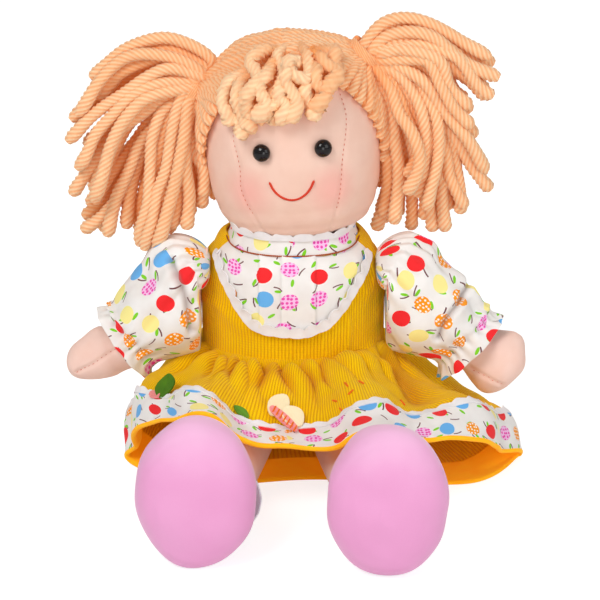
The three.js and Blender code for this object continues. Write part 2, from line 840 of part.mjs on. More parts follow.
function addHairCap() {
  const levelShares = [0.02, 0.14, 0.3, 0.48, 0.65, 0.82, 1];
  const inside = levelShares.map((t) => hairRing(t, -hairThickness));
  const outside = levelShares.map((t) => hairRing(t, clearance + hairThickness)).reverse();
  const stubs = Object.keys(sides).map((name) => {
    const { skin, axis } = tieRoot(name);
    const base = skin.clone().addScaledVector(axis, -hairThickness / 2);
    return postAt(base, axis, bunchStubRadius, bunchStubLength + hairThickness / 2);
  });
  const cap = joined([stuffedBody([...inside, ...outside]), ...stubs]);
  addPiece("hair_cap", cutBy(cap, [headForm(clearance)]), colours.yarn, head);
  for (const name of Object.keys(sides)) {
    const { skin, axis } = tieRoot(name);
    const middle = skin.clone().addScaledVector(axis, bunchStubLength / 2 + clearance);
    const bore = bunchStubRadius + clearance;
    const tie = ringAt(middle, axis, bore, bore + tieThickness, tieLength);
    addPiece("hair_tie_" + name, tie, colours.yarn, head);
  }
}

// Fringe: locks from the crown over the forehead, each [start across, end across, end height]
const fringeShares = [
  [-0.5, -0.62, 0.6],
  [-0.42, -0.52, 0.57],
  [-0.32, -0.36, 0.63],
  [-0.24, -0.26, 0.68],
  [-0.14, -0.12, 0.65],
  [-0.04, 0, 0.67],
  [0.04, 0.1, 0.64],
  [0.1, 0.18, 0.69],
];
const fringeTopShare = 0.925;
const fringeOverShares = [0.64, 0.8];
const fringeSizeShares = [
  [0, 0.6, 0.6],
  [0.2, 1, 0.95],
  [0.8, 0.95, 0.9],
  [1, 0.55, 0.5],
];

function fringeLift(up) {
  const over = THREE.MathUtils.smoothstep(up, ...fringeOverShares);
  return clearance * 2 + fringeRadius + over * (hairThickness + clearance);
}

function addFringe() {
  const locks = fringeShares.map(([from, to, low]) => {
    const steps = 6;
    const centres = Array.from({ length: steps + 1 }, (_, i) => {
      const t = i / steps;
      const up = fringeTopShare + (low - fringeTopShare) * t;
      const [, width] = readRow(headShares, up);
      const across = (from + (to - from) * t) * width;
      const angle = Math.asin(THREE.MathUtils.clamp(across, -edgeLimitShare, edgeLimitShare));
      return headPoint(up, angle, fringeLift(up));
    });
    const sizes = fringeSizeShares.map(([t, w, d]) => [t, w * fringeRadius, d * fringeRadius]);
    return stuffedBody(limbRings(centres, sizes, new THREE.Vector3(0, 1, 0), 5, 4));
  });
  addPiece("fringe", joined(locks), colours.yarn, head);
}

// Yarn bunches: the tip of each lock from the bunch's root, as shares of its reach,
// each [out, back, up]
const bunchTipShares = {
  left: [
    [0.42, 0.1, 0.12], [0.74, -0.06, -0.04], [0.88, 0.12, -0.36], [0.92, -0.04, -0.66],
    [0.88, 0.14, -0.92], [0.84, 0.06, -1.17], [0.66, 0.16, -1.22], [0.46, 0.04, -1.08],
    [0.3, 0.16, -1.2], [0.1, 0.16, -1.08],
  ],
  right: [
    [0.45, 0.1, 0.0], [0.82, -0.08, -0.24], [0.9, 0.12, -0.5], [0.7, -0.08, -0.68],
    [0.66, 0.16, -0.9], [0.78, 0.04, -1.24], [0.62, 0.16, -1.36], [0.48, 0.04, -1.52],
    [0.34, 0.16, -1.56], [0.22, 0.3, -1.36],
  ],
};
const bunchRiseShare = 0.3;
const crestShares = [0.35, 0.9, 0.35];
const fallShares = [0.75, 0.45];
const strandSizeShares = [
  [0, 0.7],
  [0.2, 1],
  [0.75, 0.95],
  [1, 0.6],
];

function bunchCentre(name) {
  const { skin, axis } = tieRoot(name);
  return skin.clone().addScaledVector(axis, bunchStubLength + clearance + bunchRootRadius);
}

function bunchLock(name, tip) {
  const sign = sides[name];
  const root = bunchCentre(name);
  const end = new THREE.Vector3(sign * tip[0], tip[1], tip[2]).multiplyScalar(bunchReach).add(root);
  const rise = bunchReach * bunchRiseShare;
  const [crestAt, crestUp, crestDrop] = crestShares;
  const crest = root.clone().lerp(end, crestAt);
  crest.z = root.z + rise * (crestUp - crestDrop * tip[0]);
  const [fallAt, fallUp] = fallShares;
  const fall = root.clone().lerp(end, fallAt);
  fall.z = Math.max(end.z + (root.z - end.z) * fallUp, end.z);
  const sizes = strandSizeShares.map(([t, w]) => [t, w * strandRadius, w * strandRadius]);
  return stuffedBody(limbRings([root, crest, fall, end], sizes, new THREE.Vector3(0, 1, 0), 5, 5));
}

function addBunches() {
  for (const name of Object.keys(sides)) {
    const centre = bunchCentre(name);
    const root = new THREE.SphereGeometry(bunchRootRadius, 10, 7).translate(centre.x, centre.y, centre.z);
    const locks = bunchTipShares[name].map((tip) => bunchLock(name, tip));
    addPiece("yarn_bunch_" + name, joined([root, ...locks]), colours.yarn, head);
  }
}

// Arms: the limb's line from the shoulder and its sizes along it, as shares
const armShares = {
  left: [
    [0, 0, 0], [0.08, 0, 0], [0.22, 0, -0.17], [0.36, -0.01, -0.37], [0.46, -0.02, -0.47],
    [0.6, -0.035, -0.53], [0.72, -0.05, -0.58], [0.78, -0.055, -0.61],
  ],
  right: [
    [0, 0, 0], [0.08, 0, 0], [0.22, 0, -0.16], [0.4, -0.01, -0.36], [0.49, -0.02, -0.46],
    [0.58, -0.035, -0.55], [0.67, -0.045, -0.63], [0.72, -0.05, -0.69],
  ],
};
const armSizeShares = [
  [0, 0.555, 0.555],
  [0.14, 0.555, 0.555],
  [0.3, 0.72, 0.7],
  [0.42, 0.82, 0.82],
  [0.56, 0.82, 0.82],
  [0.64, 0.82, 0.76],
  [0.75, 1, 0.84],
  [0.86, 0.98, 0.8],
  [0.95, 0.7, 0.58],
  [1, 0.3, 0.28],
];
const sleeveShares = {
  left: [
    [0.03, 0, 0.02], [0.16, 0, -0.13], [0.3, -0.01, -0.3], [0.38, -0.015, -0.4], [0.46, -0.02, -0.46],
  ],
  right: [
    [0.03, 0, 0.02], [0.17, 0, -0.12], [0.34, -0.01, -0.29], [0.43, -0.015, -0.4], [0.51, -0.02, -0.48],
  ],
};
const sleeveSizeShares = [
  [0, 0.78, 0.76],
  [0.12, 0.92, 0.86],
  [0.35, 1.02, 0.92],
  [0.55, 0.98, 0.86],
  [0.7, 0.82, 0.76],
  [0.79, 0.68, 0.67],
  [0.84, 0.68, 0.67],
  [1, 0.86, 0.8],
];
const sideLimit = torsoHalfWidth + clothThickness + clearance * 3;

// The torso's widest point beside the arm's root, which the root seats against
function armRootX() {
  const share = torsoShareAt(shoulderHeight - armRootRadius);
  return torsoPoint(share, Math.PI / 2, clearance * 2).x;
}

function shoulderPoint(sign) {
  return new THREE.Vector3(sign * armRootX(), -shoulderForward, shoulderHeight);
}

function sidePath(shares, sign) {
  const start = shoulderPoint(sign);
  return shares.map(([out, forward, up]) =>
    new THREE.Vector3(sign * out, forward, up).multiplyScalar(armLength).add(start),
  );
}

function addArm(name) {
  const sign = sides[name];
  const sizes = armSizeShares.map(([t, w, d]) => [t, w * handHalfWidth, d * handHalfWidth]);
  const rings = limbRings(sidePath(armShares[name], sign), sizes, new THREE.Vector3(0, 1, 0), 14, 14);
  for (const point of rings[0]) point.x = sign * armRootX();
  for (const ring of rings.slice(2)) {
    for (const point of ring) besideTorso(point, sign, clothThickness * 2 + clearance);
  }
  addPiece("arm_" + name, stuffedBody(rings), colours.skin);
}

// Keeps sleeve cloth beside the torso, pressed flat where it would reach in.
function besideTorso(point, sign, lift) {
  point.x = sign * Math.max(sign * point.x, sideLimit + lift);
  return point;
}

function addSleeve(name) {
  const sign = sides[name];
  const centres = sidePath(sleeveShares[name], sign);
  const [outer, inner] = [clothThickness, 0].map((lift) => {
    const sizes = sleeveSizeShares.map(([t, w, d]) => [
      t,
      w * sleeveHalfWidth + lift,
      d * sleeveHalfWidth + lift,
    ]);
    const rings = limbRings(centres, sizes, new THREE.Vector3(0, 1, 0), 16, 9);
    return rings.map((ring) => ring.map((p) => besideTorso(p, sign, clothThickness - lift)));
  });
  addPiece("sleeve_" + name, sheetBody(outer, inner, true), colours.print);
  addElastic(name, centres);
}

function addElastic(name, centres) {
  const path = new THREE.CatmullRomCurve3(centres);
  const gatherShare = 0.815;
  const middle = path.getPoint(gatherShare);
  const outer = gatherRadius - clearance;
  const bore = outer - elasticThickness;
  const elastic = ringAt(middle, path.getTangent(gatherShare), bore, outer, elasticWidth);
  addPiece("cuff_elastic_" + name, elastic, colours.lace);
}

// Legs: from the hip seam to the ankle and its sizes, as shares of its length and radius
const legShares = [
  [0, 0, 0],
  [0.05, -0.3, 0],
  [0.1, -0.6, -0.01],
  [0.155, -0.9, -0.01],
  [0.18, -1.06, 0],
];
const legSizeShares = [
  [0, 0.97, 1],
  [0.2, 1, 1],
  [0.5, 0.94, 0.93],
  [0.8, 0.84, 0.84],
  [1, 0.84, 0.84],
];
// The shoe's swelling from its back to the toe side, as shares
const shoeShares = [
  [0, 0.12],
  [0.06, 0.46],
  [0.16, 0.7],
  [0.3, 0.88],
  [0.45, 0.97],
  [0.6, 1],
  [0.7, 0.985],
  [0.8, 0.9],
  [0.9, 0.7],
  [0.96, 0.46],
  [1, 0.12],
];
const soleSeamShare = 0.7;
const foldCutDegrees = [0, 8, 16];
const shoeForwardShares = { left: 0, right: 0.2 };
const shoeSpreadShares = { left: 1.02, right: 0.985 };

function legCentreHeight() {
  return legRadius + clothThickness + clearance * 2;
}

function hipPivot(sign) {
  return new THREE.Vector3(sign * hipSpread, -hipForward, hipHeight);
}

// The torso turned about a hip, so that a leg cut by it swings clear
function torsoTurned(sign, degrees) {
  const pivot = hipPivot(sign);
  const form = torsoForm(clearance);
  form.translate(-pivot.x, -pivot.y, -pivot.z);
  form.rotateX(THREE.MathUtils.degToRad(degrees));
  return form.translate(pivot.x, pivot.y, pivot.z);
}

function shoeRings(name, fromShare, toShare, lift) {
  const sign = sides[name];
  const places = shoeShares.map(([t]) => t).filter((t) => t > fromShare && t < toShare);
  return [fromShare, ...places, toShare].map((t) => {
    const [, swell] = readRow(shoeShares, t);
    const forward = shoeForward + shoeForwardShares[name] * shoeLength + t * shoeLength;
    const x = sign * shoeSpread * shoeSpreadShares[name];
    const centre = new THREE.Vector3(x, -forward, shoeHalfHeight - floorCut);
    const [w, h] = [swell * shoeHalfWidth + lift, swell * shoeHalfHeight + lift];
    const ring = ellipseRing(centre, new THREE.Vector3(1, 0, 0), new THREE.Vector3(0, 0, 1), w, h, 20);
    for (const point of ring) point.z = Math.max(point.z, -lift);
    return ring;
  });
}

function addLeg(name) {
  const sign = sides[name];
  const start = new THREE.Vector3(sign * hipSpread, -hipForward, legCentreHeight());
  const stretch = 1 + (shoeForwardShares[name] * shoeLength) / legLength;
  const centres = legShares.map(
    ([out, forward, up]) =>
      new THREE.Vector3(sign * out * legLength, forward * stretch * legLength, up * legLength).add(start),
  );
  const sizes = legSizeShares.map(([t, w, d]) => [t, w * legRadius, d * legRadius]);
  const leg = stuffedBody(limbRings(centres, sizes, new THREE.Vector3(0, 0, 1), 16, 10));
  const shoe = stuffedBody(shoeRings(name, 0, 1, clearance));
  const cutters = foldCutDegrees.map((degrees) => torsoTurned(sign, degrees));
  addPiece("leg_" + name, cutBy(leg, [shoe, ...cutters]), colours.skin);
  addShoe(name);
  addSock(name, centres, sizes);
}

function addShoe(name) {
  const seam = clearance / shoeLength;
  addPiece("shoe_upper_" + name, stuffedBody(shoeRings(name, 0, soleSeamShare, 0)), colours.pink);
  addPiece("shoe_sole_" + name, stuffedBody(shoeRings(name, soleSeamShare + seam, 1, 0)), colours.pink);
}

function addSock(name, centres, sizes) {
  const path = new THREE.CatmullRomCurve3(centres);
  const endShare = 0.735;
  const startShare = endShare - sockLength / legLength;
  const grids = [clearance + clothThickness, clearance].map((lift) =>
    [0, 0.5, 1].map((k) => {
      const t = startShare + (endShare - startShare) * k;
      const centre = path.getPoint(t);
      const along = path.getTangent(t);
      const across = new THREE.Vector3().crossVectors(along, new THREE.Vector3(0, 0, 1)).normalize();
      const deep = new THREE.Vector3().crossVectors(across, along);
      const [, w, d] = readRow(sizes, t);
      return ellipseRing(centre, across, deep, w + lift, d + lift, 16);
    }),
  );
  addPiece("sock_" + name, sheetBody(grids[0], grids[1], true), colours.lace);
}

addTorso();
addNeck();
addBodice();
addBib();
addCollar();
addStraps();
addSkirt();
for (const [name, piece] of Object.entries(feltShares)) addFelt(name, piece);
addStitches();
addHeadAndEyes();
addMouth();
addHairCap();
addFringe();
addBunches();
for (const name of Object.keys(sides)) {
  addArm(name);
  addSleeve(name);
  addLeg(name);
}

export default doll;
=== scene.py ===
# %% [markdown]
# # A sitting rag doll
#
# This notebook dresses a rag doll: a stuffed cloth body, yarn hair in two bunches, a printed
# blouse and a corduroy pinafore. The solids and the joints come from the measured frame. Every
# length here is in millimetres until a mesh is made, because sewing is done in millimetres.

# %% Libraries and the measured frame
import math
from functools import partial

import bpy
import numpy as np
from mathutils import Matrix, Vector
from mathutils.kdtree import KDTree


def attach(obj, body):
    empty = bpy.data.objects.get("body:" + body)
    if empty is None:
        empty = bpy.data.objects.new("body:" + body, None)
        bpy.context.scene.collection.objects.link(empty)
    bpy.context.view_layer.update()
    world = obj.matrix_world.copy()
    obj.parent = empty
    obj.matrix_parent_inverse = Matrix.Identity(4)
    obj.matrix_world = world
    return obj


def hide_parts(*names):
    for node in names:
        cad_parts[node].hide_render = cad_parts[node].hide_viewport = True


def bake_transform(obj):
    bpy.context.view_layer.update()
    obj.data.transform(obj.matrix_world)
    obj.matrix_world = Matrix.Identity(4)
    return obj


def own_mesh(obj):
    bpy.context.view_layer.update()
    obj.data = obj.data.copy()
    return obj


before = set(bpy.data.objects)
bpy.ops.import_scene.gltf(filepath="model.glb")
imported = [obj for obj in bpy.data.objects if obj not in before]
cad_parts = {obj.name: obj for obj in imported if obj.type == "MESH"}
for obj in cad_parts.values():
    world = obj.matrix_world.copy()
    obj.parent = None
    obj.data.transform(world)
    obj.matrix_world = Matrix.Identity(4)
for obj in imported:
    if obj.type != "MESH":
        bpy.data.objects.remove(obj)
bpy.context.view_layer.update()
METRES = 0.001
SIDES = (("left", -1), ("right", 1))

# %% [markdown]
# ## The camera
#
# The doll is seen from a metre away and about seventeen degrees above, with a long lens, so it is
# hardly foreshortened. A camera looks along its own -Z axis, and to_track_quat turns a direction
# into that rotation.

# %% Camera
CAMERA_AT = Vector((0.0, -0.95630, 0.40237))
CAMERA_LOOKS = Vector((0.00333, 0.94526, -0.32632))
LENS = 126.0
SENSOR = 36.0


def add_object(name, data):
    """A new object in the scene."""
    made = bpy.data.objects.new(name, data)
    bpy.context.collection.objects.link(made)
    return made


lens = bpy.data.cameras.new("view")
lens.lens = LENS
lens.sensor_width = SENSOR
lens.sensor_fit = "HORIZONTAL"
camera = add_object("camera", lens)
camera.location = CAMERA_AT
camera.rotation_euler = CAMERA_LOOKS.to_track_quat("-Z", "Y").to_euler()
bpy.context.scene.camera = camera
bpy.context.scene.view_settings.view_transform = "Standard"

# %% [markdown]
# ## Colours and shader sums
#
# Paint is chosen in sRGB numbers from 0 to 255, and shaders work in linear light, so each colour
# passes through one conversion. A shader formula would take a dozen lines of nodes and links. The
# class below wraps a socket, so that a formula can be written as one, such as 1 - groove * 0.5, and
# every sign adds its own Math node.

# %% Colour conversion


def paint(red, green, blue):
    """An sRGB colour, 0 to 255, as linear light with alpha."""
    shares = [value / 255 for value in (red, green, blue)]
    line = [s / 12.92 if s <= 0.04045 else ((s + 0.055) / 1.055) ** 2.4 for s in shares]
    return (*line, 1.0)


# %% Shader expressions


class Wire:
    """One socket of a material, usable in formulas."""

    def __init__(self, finish, socket):
        self.finish = finish
        self.socket = socket

    def maths(self, operation, *values):
        return self.finish.add("ShaderNodeMath", {"operation": operation}, *values)

    def __rsub__(self, other):
        return self.maths("SUBTRACT", other, self)

    def ramp(self, low, high):
        """0 below low, 1 above high and smooth between."""
        settings = {"interpolation_type": "SMOOTHSTEP"}
        return self.finish.add("ShaderNodeMapRange", settings, self, low, high)

    def parts(self):
        """The x, y and z of a vector."""
        return [self.finish.add("ShaderNodeSeparateXYZ", {}, self, output=k) for k in range(3)]


def maths_method(operation):
    """A method of Wire that adds one Math node, for a sign such as + or for a function."""
    return lambda *values: values[0].maths(operation, *values)


for methods, operation in (
    ("__add__ __radd__", "ADD"), ("__sub__", "SUBTRACT"), ("__mul__ __rmul__", "MULTIPLY"),
    ("__truediv__", "DIVIDE"), ("__pow__", "POWER"), ("__abs__", "ABSOLUTE"), ("__lt__", "LESS_THAN"),
    ("__gt__", "GREATER_THAN"), ("sine", "SINE"), ("cosine", "COSINE"), ("most", "MAXIMUM"),
):
    for method in methods.split():
        setattr(Wire, method, maths_method(operation))


SHEEN_ROUGHNESS = 0.45


class Finish:
    """A material under construction: its nodes and its Principled shader."""

    def __init__(self, name, roughness=0.85, sheen=0.0, specular=0.25):
        self.material = bpy.data.materials.new(name)
        self.material.use_nodes = True
        self.tree = self.material.node_tree
        self.shader = self.tree.nodes["Principled BSDF"]
        for key, value in (
            ("Roughness", roughness), ("Sheen Weight", sheen), ("Sheen Roughness", SHEEN_ROUGHNESS),
            ("Specular IOR Level", specular),
        ):
            self.shader.inputs[key].default_value = value

    def put(self, socket, value):
        if isinstance(value, Wire):
            self.tree.links.new(value.socket, socket)
        else:
            socket.default_value = value

    def add(self, kind, settings, *values, output=0, **named):
        """Adds a node: its settings first, then values or wires for its inputs."""
        node = self.tree.nodes.new(kind)
        for key, value in settings.items():
            setattr(node, key, value)
        for socket, value in zip(node.inputs, values):
            self.put(socket, value)
        for key, value in named.items():
            self.put(node.inputs[key.replace("_", " ")], value)
        return Wire(self, node.outputs[output])

    def place(self):
        """Where the point is on the object, in metres."""
        return self.add("ShaderNodeTexCoord", {}, output=3)

    def cloth(self):
        """Across and along the cloth, in millimetres."""
        return self.add("ShaderNodeUVMap", {"uv_map": "cloth"})

    def noise(self, size, detail=2.0, vector=None):
        """Smooth random values from 0 to 1 whose bumps are this many millimetres."""
        where = self.place() if vector is None else vector
        scale = 1 / (size * METRES) if vector is None else 1 / size
        return self.add("ShaderNodeTexNoise", {}, Vector=where, Scale=scale, Detail=detail)

    def shift(self, vector, numbers, operation="MULTIPLY"):
        """A vector times or plus three numbers."""
        return self.add("ShaderNodeVectorMath", {"operation": operation}, vector, numbers)

    def mixed(self, share, first, second):
        """Two colours mixed by a share."""
        node = self.tree.nodes.new("ShaderNodeMix")
        node.data_type = "RGBA"
        for number, value in ((0, share), (6, first), (7, second)):
            self.put(node.inputs[number], value)
        return Wire(self, node.outputs[2])

    def colour(self, value):
        self.put(self.shader.inputs["Base Color"], value)
        return self

    def creased(self, colour, dark, share):
        """A colour with painted shade where the cloth is folded in."""
        crease = self.add("ShaderNodeAttribute", {"attribute_name": "crease"}, output=2)
        return self.mixed(crease * share, colour, dark)

    def glow(self, colour, strength):
        """A painted glow that stands in for light shining through thin cloth or wool into its shade."""
        self.shader.inputs["Emission Color"].default_value = colour
        self.shader.inputs["Emission Strength"].default_value = strength
        return self

    def bumps(self, height, depth):
        """Raises the surface by height times depth, in millimetres."""
        bump = self.add("ShaderNodeBump", {}, Strength=1.0, Distance=depth * METRES, Height=height)
        self.put(self.shader.inputs["Normal"], bump)
        return self


# %% [markdown]
# ## Finishes of cloth
#
# Three kinds of pattern cover the whole doll. Woven cloth is two sets of crossing threads, which
# are two sine waves. Corduroy is one row of soft ribs, called wales, with pile that scatters light.
# Felt and plush have no thread direction, so noise makes their fibres. The cloth map of each piece
# is in millimetres, so one thread has the same width everywhere.

# %% Woven cloth


def thread_grid(finish, pitch):
    """Crossing threads of a plain weave, 0 in the gaps and 1 on a thread."""
    across, along, _ = finish.cloth().parts()
    turn = 2 * math.pi / pitch
    return ((across * turn).sine() * (along * turn).sine()) * 0.5 + 0.5


def woven(name, light, dark, pitch, depth, patch=9.0, **settings):
    """Plain woven or knitted cloth with slightly uneven dye."""
    finish = Finish(name, **settings)
    uneven = finish.noise(patch).ramp(0.25, 0.75)
    thread = thread_grid(finish, pitch)
    finish.colour(finish.mixed(uneven * 0.6 + (1 - thread) * 0.4, light, dark))
    finish.bumps(thread + finish.noise(pitch * 2.5) * 0.6, depth)
    return finish


lace_cloth = woven("lace_cloth", paint(247, 245, 245), paint(230, 227, 228), 0.6, 0.05)
sock_cloth = woven("sock_cloth", paint(250, 250, 252), paint(226, 226, 234), 1.1, 0.16)
lining_cloth = woven("lining_cloth", paint(255, 200, 30), paint(255, 176, 12), 0.7, 0.06, sheen=0.05)
# A painted glow: the lining stays bright orange in the skirt's shade, as if light came through it.
lining_cloth.glow(paint(255, 150, 10), 0.22)
limb_cloth = woven("limb_cloth", paint(249, 214, 200), paint(243, 201, 184), 0.55, 0.045, sheen=0.12)

# %% Face cloth with a blush
EYE_SPOTS = ((-14.7, -36.5, 154.8), (14.3, -36.3, 157.0))
BLUSH_SPOTS = ((-21.0, -31.0, 134.5), (18.5, -33.0, 137.0))


def near_spots(finish, spots, reach):
    """1 at the spots, falling smoothly to 0 at their reach, in millimetres."""
    near = None
    for spot in spots:
        metres = tuple(value * METRES for value in spot)
        gap = finish.add(
            "ShaderNodeVectorMath", {"operation": "DISTANCE"}, finish.place(), metres, output=1
        )
        share = 1 - (gap / METRES).ramp(0.0, reach)
        near = share if near is None else near.most(share)
    return near


face_cloth = Finish("face_cloth", sheen=0.12)
face_thread = thread_grid(face_cloth, 0.5)
face_plain = face_cloth.mixed(
    face_cloth.noise(10.0).ramp(0.25, 0.75) * 0.6 + (1 - face_thread) * 0.4,
    paint(244, 209, 191),
    paint(237, 196, 177),
)
face_blushed = face_cloth.mixed(
    near_spots(face_cloth, BLUSH_SPOTS, 17.0) * 0.5, face_plain, paint(248, 158, 150)
)
# Round the eyes the cloth is mixed towards a brownish tone: painted shade in the eyes' dents.
face_cloth.colour(
    face_cloth.mixed(near_spots(face_cloth, EYE_SPOTS, 8.5) * 0.3, face_blushed, paint(214, 140, 112))
)
face_cloth.bumps(face_thread + face_cloth.noise(1.2) * 0.6, 0.045)

# %% Corduroy
WALE = 1.65

corduroy = Finish("corduroy", roughness=0.9, sheen=0.08, specular=0.1)
# A faint painted glow keeps the corduroy's shade orange.
corduroy.glow(paint(250, 150, 0), 0.05)
wale_across, wale_along, _ = corduroy.cloth().parts()
wale = abs((wale_across * (math.pi / WALE)).sine()) ** 0.7
pile = corduroy.noise(0.55, 3.0)
rub = corduroy.noise(16.0).ramp(0.3, 0.75)
# The grooves between the wales are mixed towards a darker orange: painted shade.
corduroy_plain = corduroy.mixed(
    (1 - wale) * 0.7 + pile * 0.15,
    corduroy.mixed(rub, paint(251, 204, 2), paint(254, 215, 8)),
    paint(220, 146, 0),
)
# Deep gathers and folds are mixed towards brown: painted shade in the creases.
corduroy.colour(corduroy.creased(corduroy_plain, paint(196, 104, 0), 0.6))
ribs = abs((wale_along * (math.pi / 1.3)).sine())
corduroy.bumps(wale + pile * 0.25 + ribs * 0.3, 0.36)

# %% [markdown]
# ## The printed cotton
#
# The blouse is printed with plain discs, dotted discs, leaves and short twigs on a warm white
# ground. A Voronoi texture cuts the cloth into cells and gives each cell a centre and a random
# colour. The place inside the cell draws the motif, and the random colour picks which one, so the
# layout never repeats.

# %% Printed cotton


FLAT = {"voronoi_dimensions": "2D"}


def cell_places(finish, size, shift, jitter):
    """Place inside a random cell, turned by a random angle, and three random values."""
    moved = finish.shift(finish.shift(finish.cloth(), (shift, shift * 2, 0.0), "ADD"), (1 / size,) * 3)
    cells = partial(finish.add, "ShaderNodeTexVoronoi", FLAT, Vector=moved, Scale=1.0, Randomness=jitter)
    centre, random = cells(output=2), cells(output=1)
    inside = finish.add("ShaderNodeVectorMath", {"operation": "SUBTRACT"}, moved, centre)
    x, y, _ = finish.shift(inside, (size,) * 3).parts()
    draws = random.parts()
    turn = draws[0] * (2 * math.pi)
    across = x * turn.cosine() + y * turn.sine()
    along = y * turn.cosine() - x * turn.sine()
    return across, along, draws


def oval(across, along, middle, radii):
    """1 inside an oval at a place in the cell."""
    x = (across - middle[0]) / radii[0]
    y = (along - middle[1]) / radii[1]
    return (x * x + y * y) < 1.0


def add_twigs(finish, ground, size, shift):
    """Leaves beside short bent twigs."""
    across, along, draws = cell_places(finish, size, shift, 0.45)
    bend = across - along * along * 0.06
    twig = (abs(bend) < 0.34) * (abs(along) < 2.6)
    leaf = oval(across + along * 0.35, along, (1.9, 0.6), (0.85, 1.9))
    kind = draws[1]
    ground = finish.mixed(twig * (kind < 0.75), ground, paint(112, 62, 66))
    return finish.mixed(leaf * (kind > 0.22), ground, paint(128, 210, 34))


def add_discs(finish, ground):
    """Round plain and dotted discs in red, blue, orange, pink and pale yellow."""
    across, along, draws = cell_places(finish, 14.4, 4.0, 0.4)
    disc = oval(across, along, (0.0, 0.0), (4.5, 4.1))
    dots = finish.add("ShaderNodeTexVoronoi", FLAT, Vector=finish.cloth(), Scale=0.5, Randomness=0.35)
    dot = dots < 0.27
    kind = draws[2]
    plain = finish.mixed(kind > 0.25, paint(244, 40, 44), paint(104, 178, 236))
    orange = finish.mixed(dot, paint(255, 156, 8), paint(255, 250, 240))
    pink = finish.mixed(dots < 0.36, paint(250, 196, 236), paint(236, 78, 176))
    dotted = finish.mixed(kind > 0.66, orange, pink)
    body = finish.mixed(kind > 0.5, plain, dotted)
    body = finish.mixed(kind > 0.82, body, paint(252, 238, 150))
    return finish.mixed(disc, ground, body)


def printed(name):
    """Fine cotton with the scattered print."""
    finish = Finish(name, roughness=0.8, sheen=0.08)
    ground = finish.mixed(finish.noise(12.0).ramp(0.3, 0.7), paint(243, 240, 236), paint(234, 229, 224))
    ground = add_twigs(finish, ground, 9.6, 0.0)
    # Creases are mixed towards a greyish brown: painted shade.
    finish.colour(finish.creased(add_discs(finish, ground), paint(150, 128, 122), 0.55))
    finish.bumps(thread_grid(finish, 0.42) + finish.noise(3.5) * 0.8, 0.035)
    return finish


printed_cotton = printed("printed_cotton")

# %% Yarn
yarn_wool = Finish("yarn_wool", roughness=0.92, sheen=0.12, specular=0.08)
# A painted glow keeps the wool's shade orange, as light through the fibres would.
yarn_wool.glow(paint(240, 120, 40), 0.1)
groove = yarn_wool.add("ShaderNodeAttribute", {"attribute_name": "groove"}, output=2)
shade = yarn_wool.add("ShaderNodeAttribute", {"attribute_name": "shade"}, output=2)
fibre = yarn_wool.noise(0.5, 3.0)
# The shade and groove values darken the wool: painted shade at the roots, in back layers and between plies.
yarn_pale = yarn_wool.mixed(shade, paint(255, 229, 188), paint(234, 144, 66))
yarn_wool.colour(yarn_wool.mixed(groove * 0.62 + fibre * 0.14, yarn_pale, paint(229, 132, 58)))
yarn_wool.bumps(fibre + (1 - groove) * 0.4, 0.3)

# %% Felt, plush, thread, bead and hidden parts


def fibrous(name, light, dark, size, depth, patch=10.0, painted_top_light=None, **settings):
    """Felt or plush: fibres in no direction, with an optional paler colour near the top that is painted light
    from above.
    """
    finish = Finish(name, **settings)
    fibres = finish.noise(size, 4.0)
    colour = finish.mixed(fibres * 0.45 + finish.noise(patch).ramp(0.3, 0.7) * 0.4, light, dark)
    if painted_top_light is not None:
        # Painted light: the top is mixed towards a paler colour, as if lit from above.
        high = (finish.place().parts()[2] / METRES + finish.noise(14.0) * 14).ramp(50.0, 86.0)
        colour = finish.mixed(high, colour, painted_top_light)
    finish.colour(colour)
    finish.bumps(fibres, depth)
    return finish


# The shoes' plush is paler near the top: painted light from above.
pink_plush = fibrous(
    "pink_plush", paint(235, 165, 208), paint(227, 151, 197), 0.45, 0.04, 30.0,
    painted_top_light=paint(243, 191, 223), sheen=0.5,
)
green_felt = fibrous("green_felt", paint(88, 136, 24), paint(54, 98, 14), 0.5, 0.16)
leaf_felt = fibrous("leaf_felt", paint(104, 160, 50), paint(70, 122, 30), 0.5, 0.16)
cream_felt = fibrous("cream_felt", paint(255, 244, 206), paint(244, 224, 176), 0.5, 0.14)
rose_felt = fibrous("rose_felt", paint(250, 170, 170), paint(238, 126, 120), 0.5, 0.14)
seam_thread = fibrous("seam_thread", paint(226, 140, 118), paint(206, 112, 92), 0.3, 0.05)
red_thread = fibrous("red_thread", paint(224, 72, 44), paint(196, 46, 28), 0.3, 0.08, specular=0.4)
piping_thread = fibrous("piping_thread", paint(176, 84, 40), paint(148, 62, 30), 0.3, 0.08)
orange_thread = fibrous("orange_thread", paint(250, 132, 20), paint(236, 96, 8), 0.3, 0.08, specular=0.4)
washer_plastic = fibrous("washer_plastic", paint(236, 236, 230), paint(224, 224, 218), 3.0, 0.01)
elastic_band = woven("elastic_band", paint(248, 248, 246), paint(228, 228, 226), 0.8, 0.08)
bead_black = Finish("bead_black", roughness=0.1, specular=0.35)
bead_black.colour(bead_black.mixed(bead_black.noise(2.0), paint(12, 9, 10), paint(20, 15, 16)))
bead_black.put(bead_black.shader.inputs["Roughness"], bead_black.noise(1.0) * 0.06 + 0.08)
print("finishes:", len(bpy.data.materials))

# %% [markdown]
# ## Making cloth from rows of points
#
# Nearly every piece is a surface that follows a rule: rings round a stuffed limb, or rows down a
# skirt. The rule gives a grid of points, and one helper turns the grid into a closed mesh. The
# cloth map is measured along the grid, so that threads and ribs keep their width.

# %% Surfaces from grids


def stacked(*parts):
    """A grid of points from parts that fill its rows or its columns."""
    return np.stack(np.broadcast_arrays(*parts), axis=-1)


def closed_rings(grid, wraps):
    """A grid whose rings end where they start, if it wraps."""
    return np.concatenate([grid, grid[:, :1]], axis=1) if wraps else grid


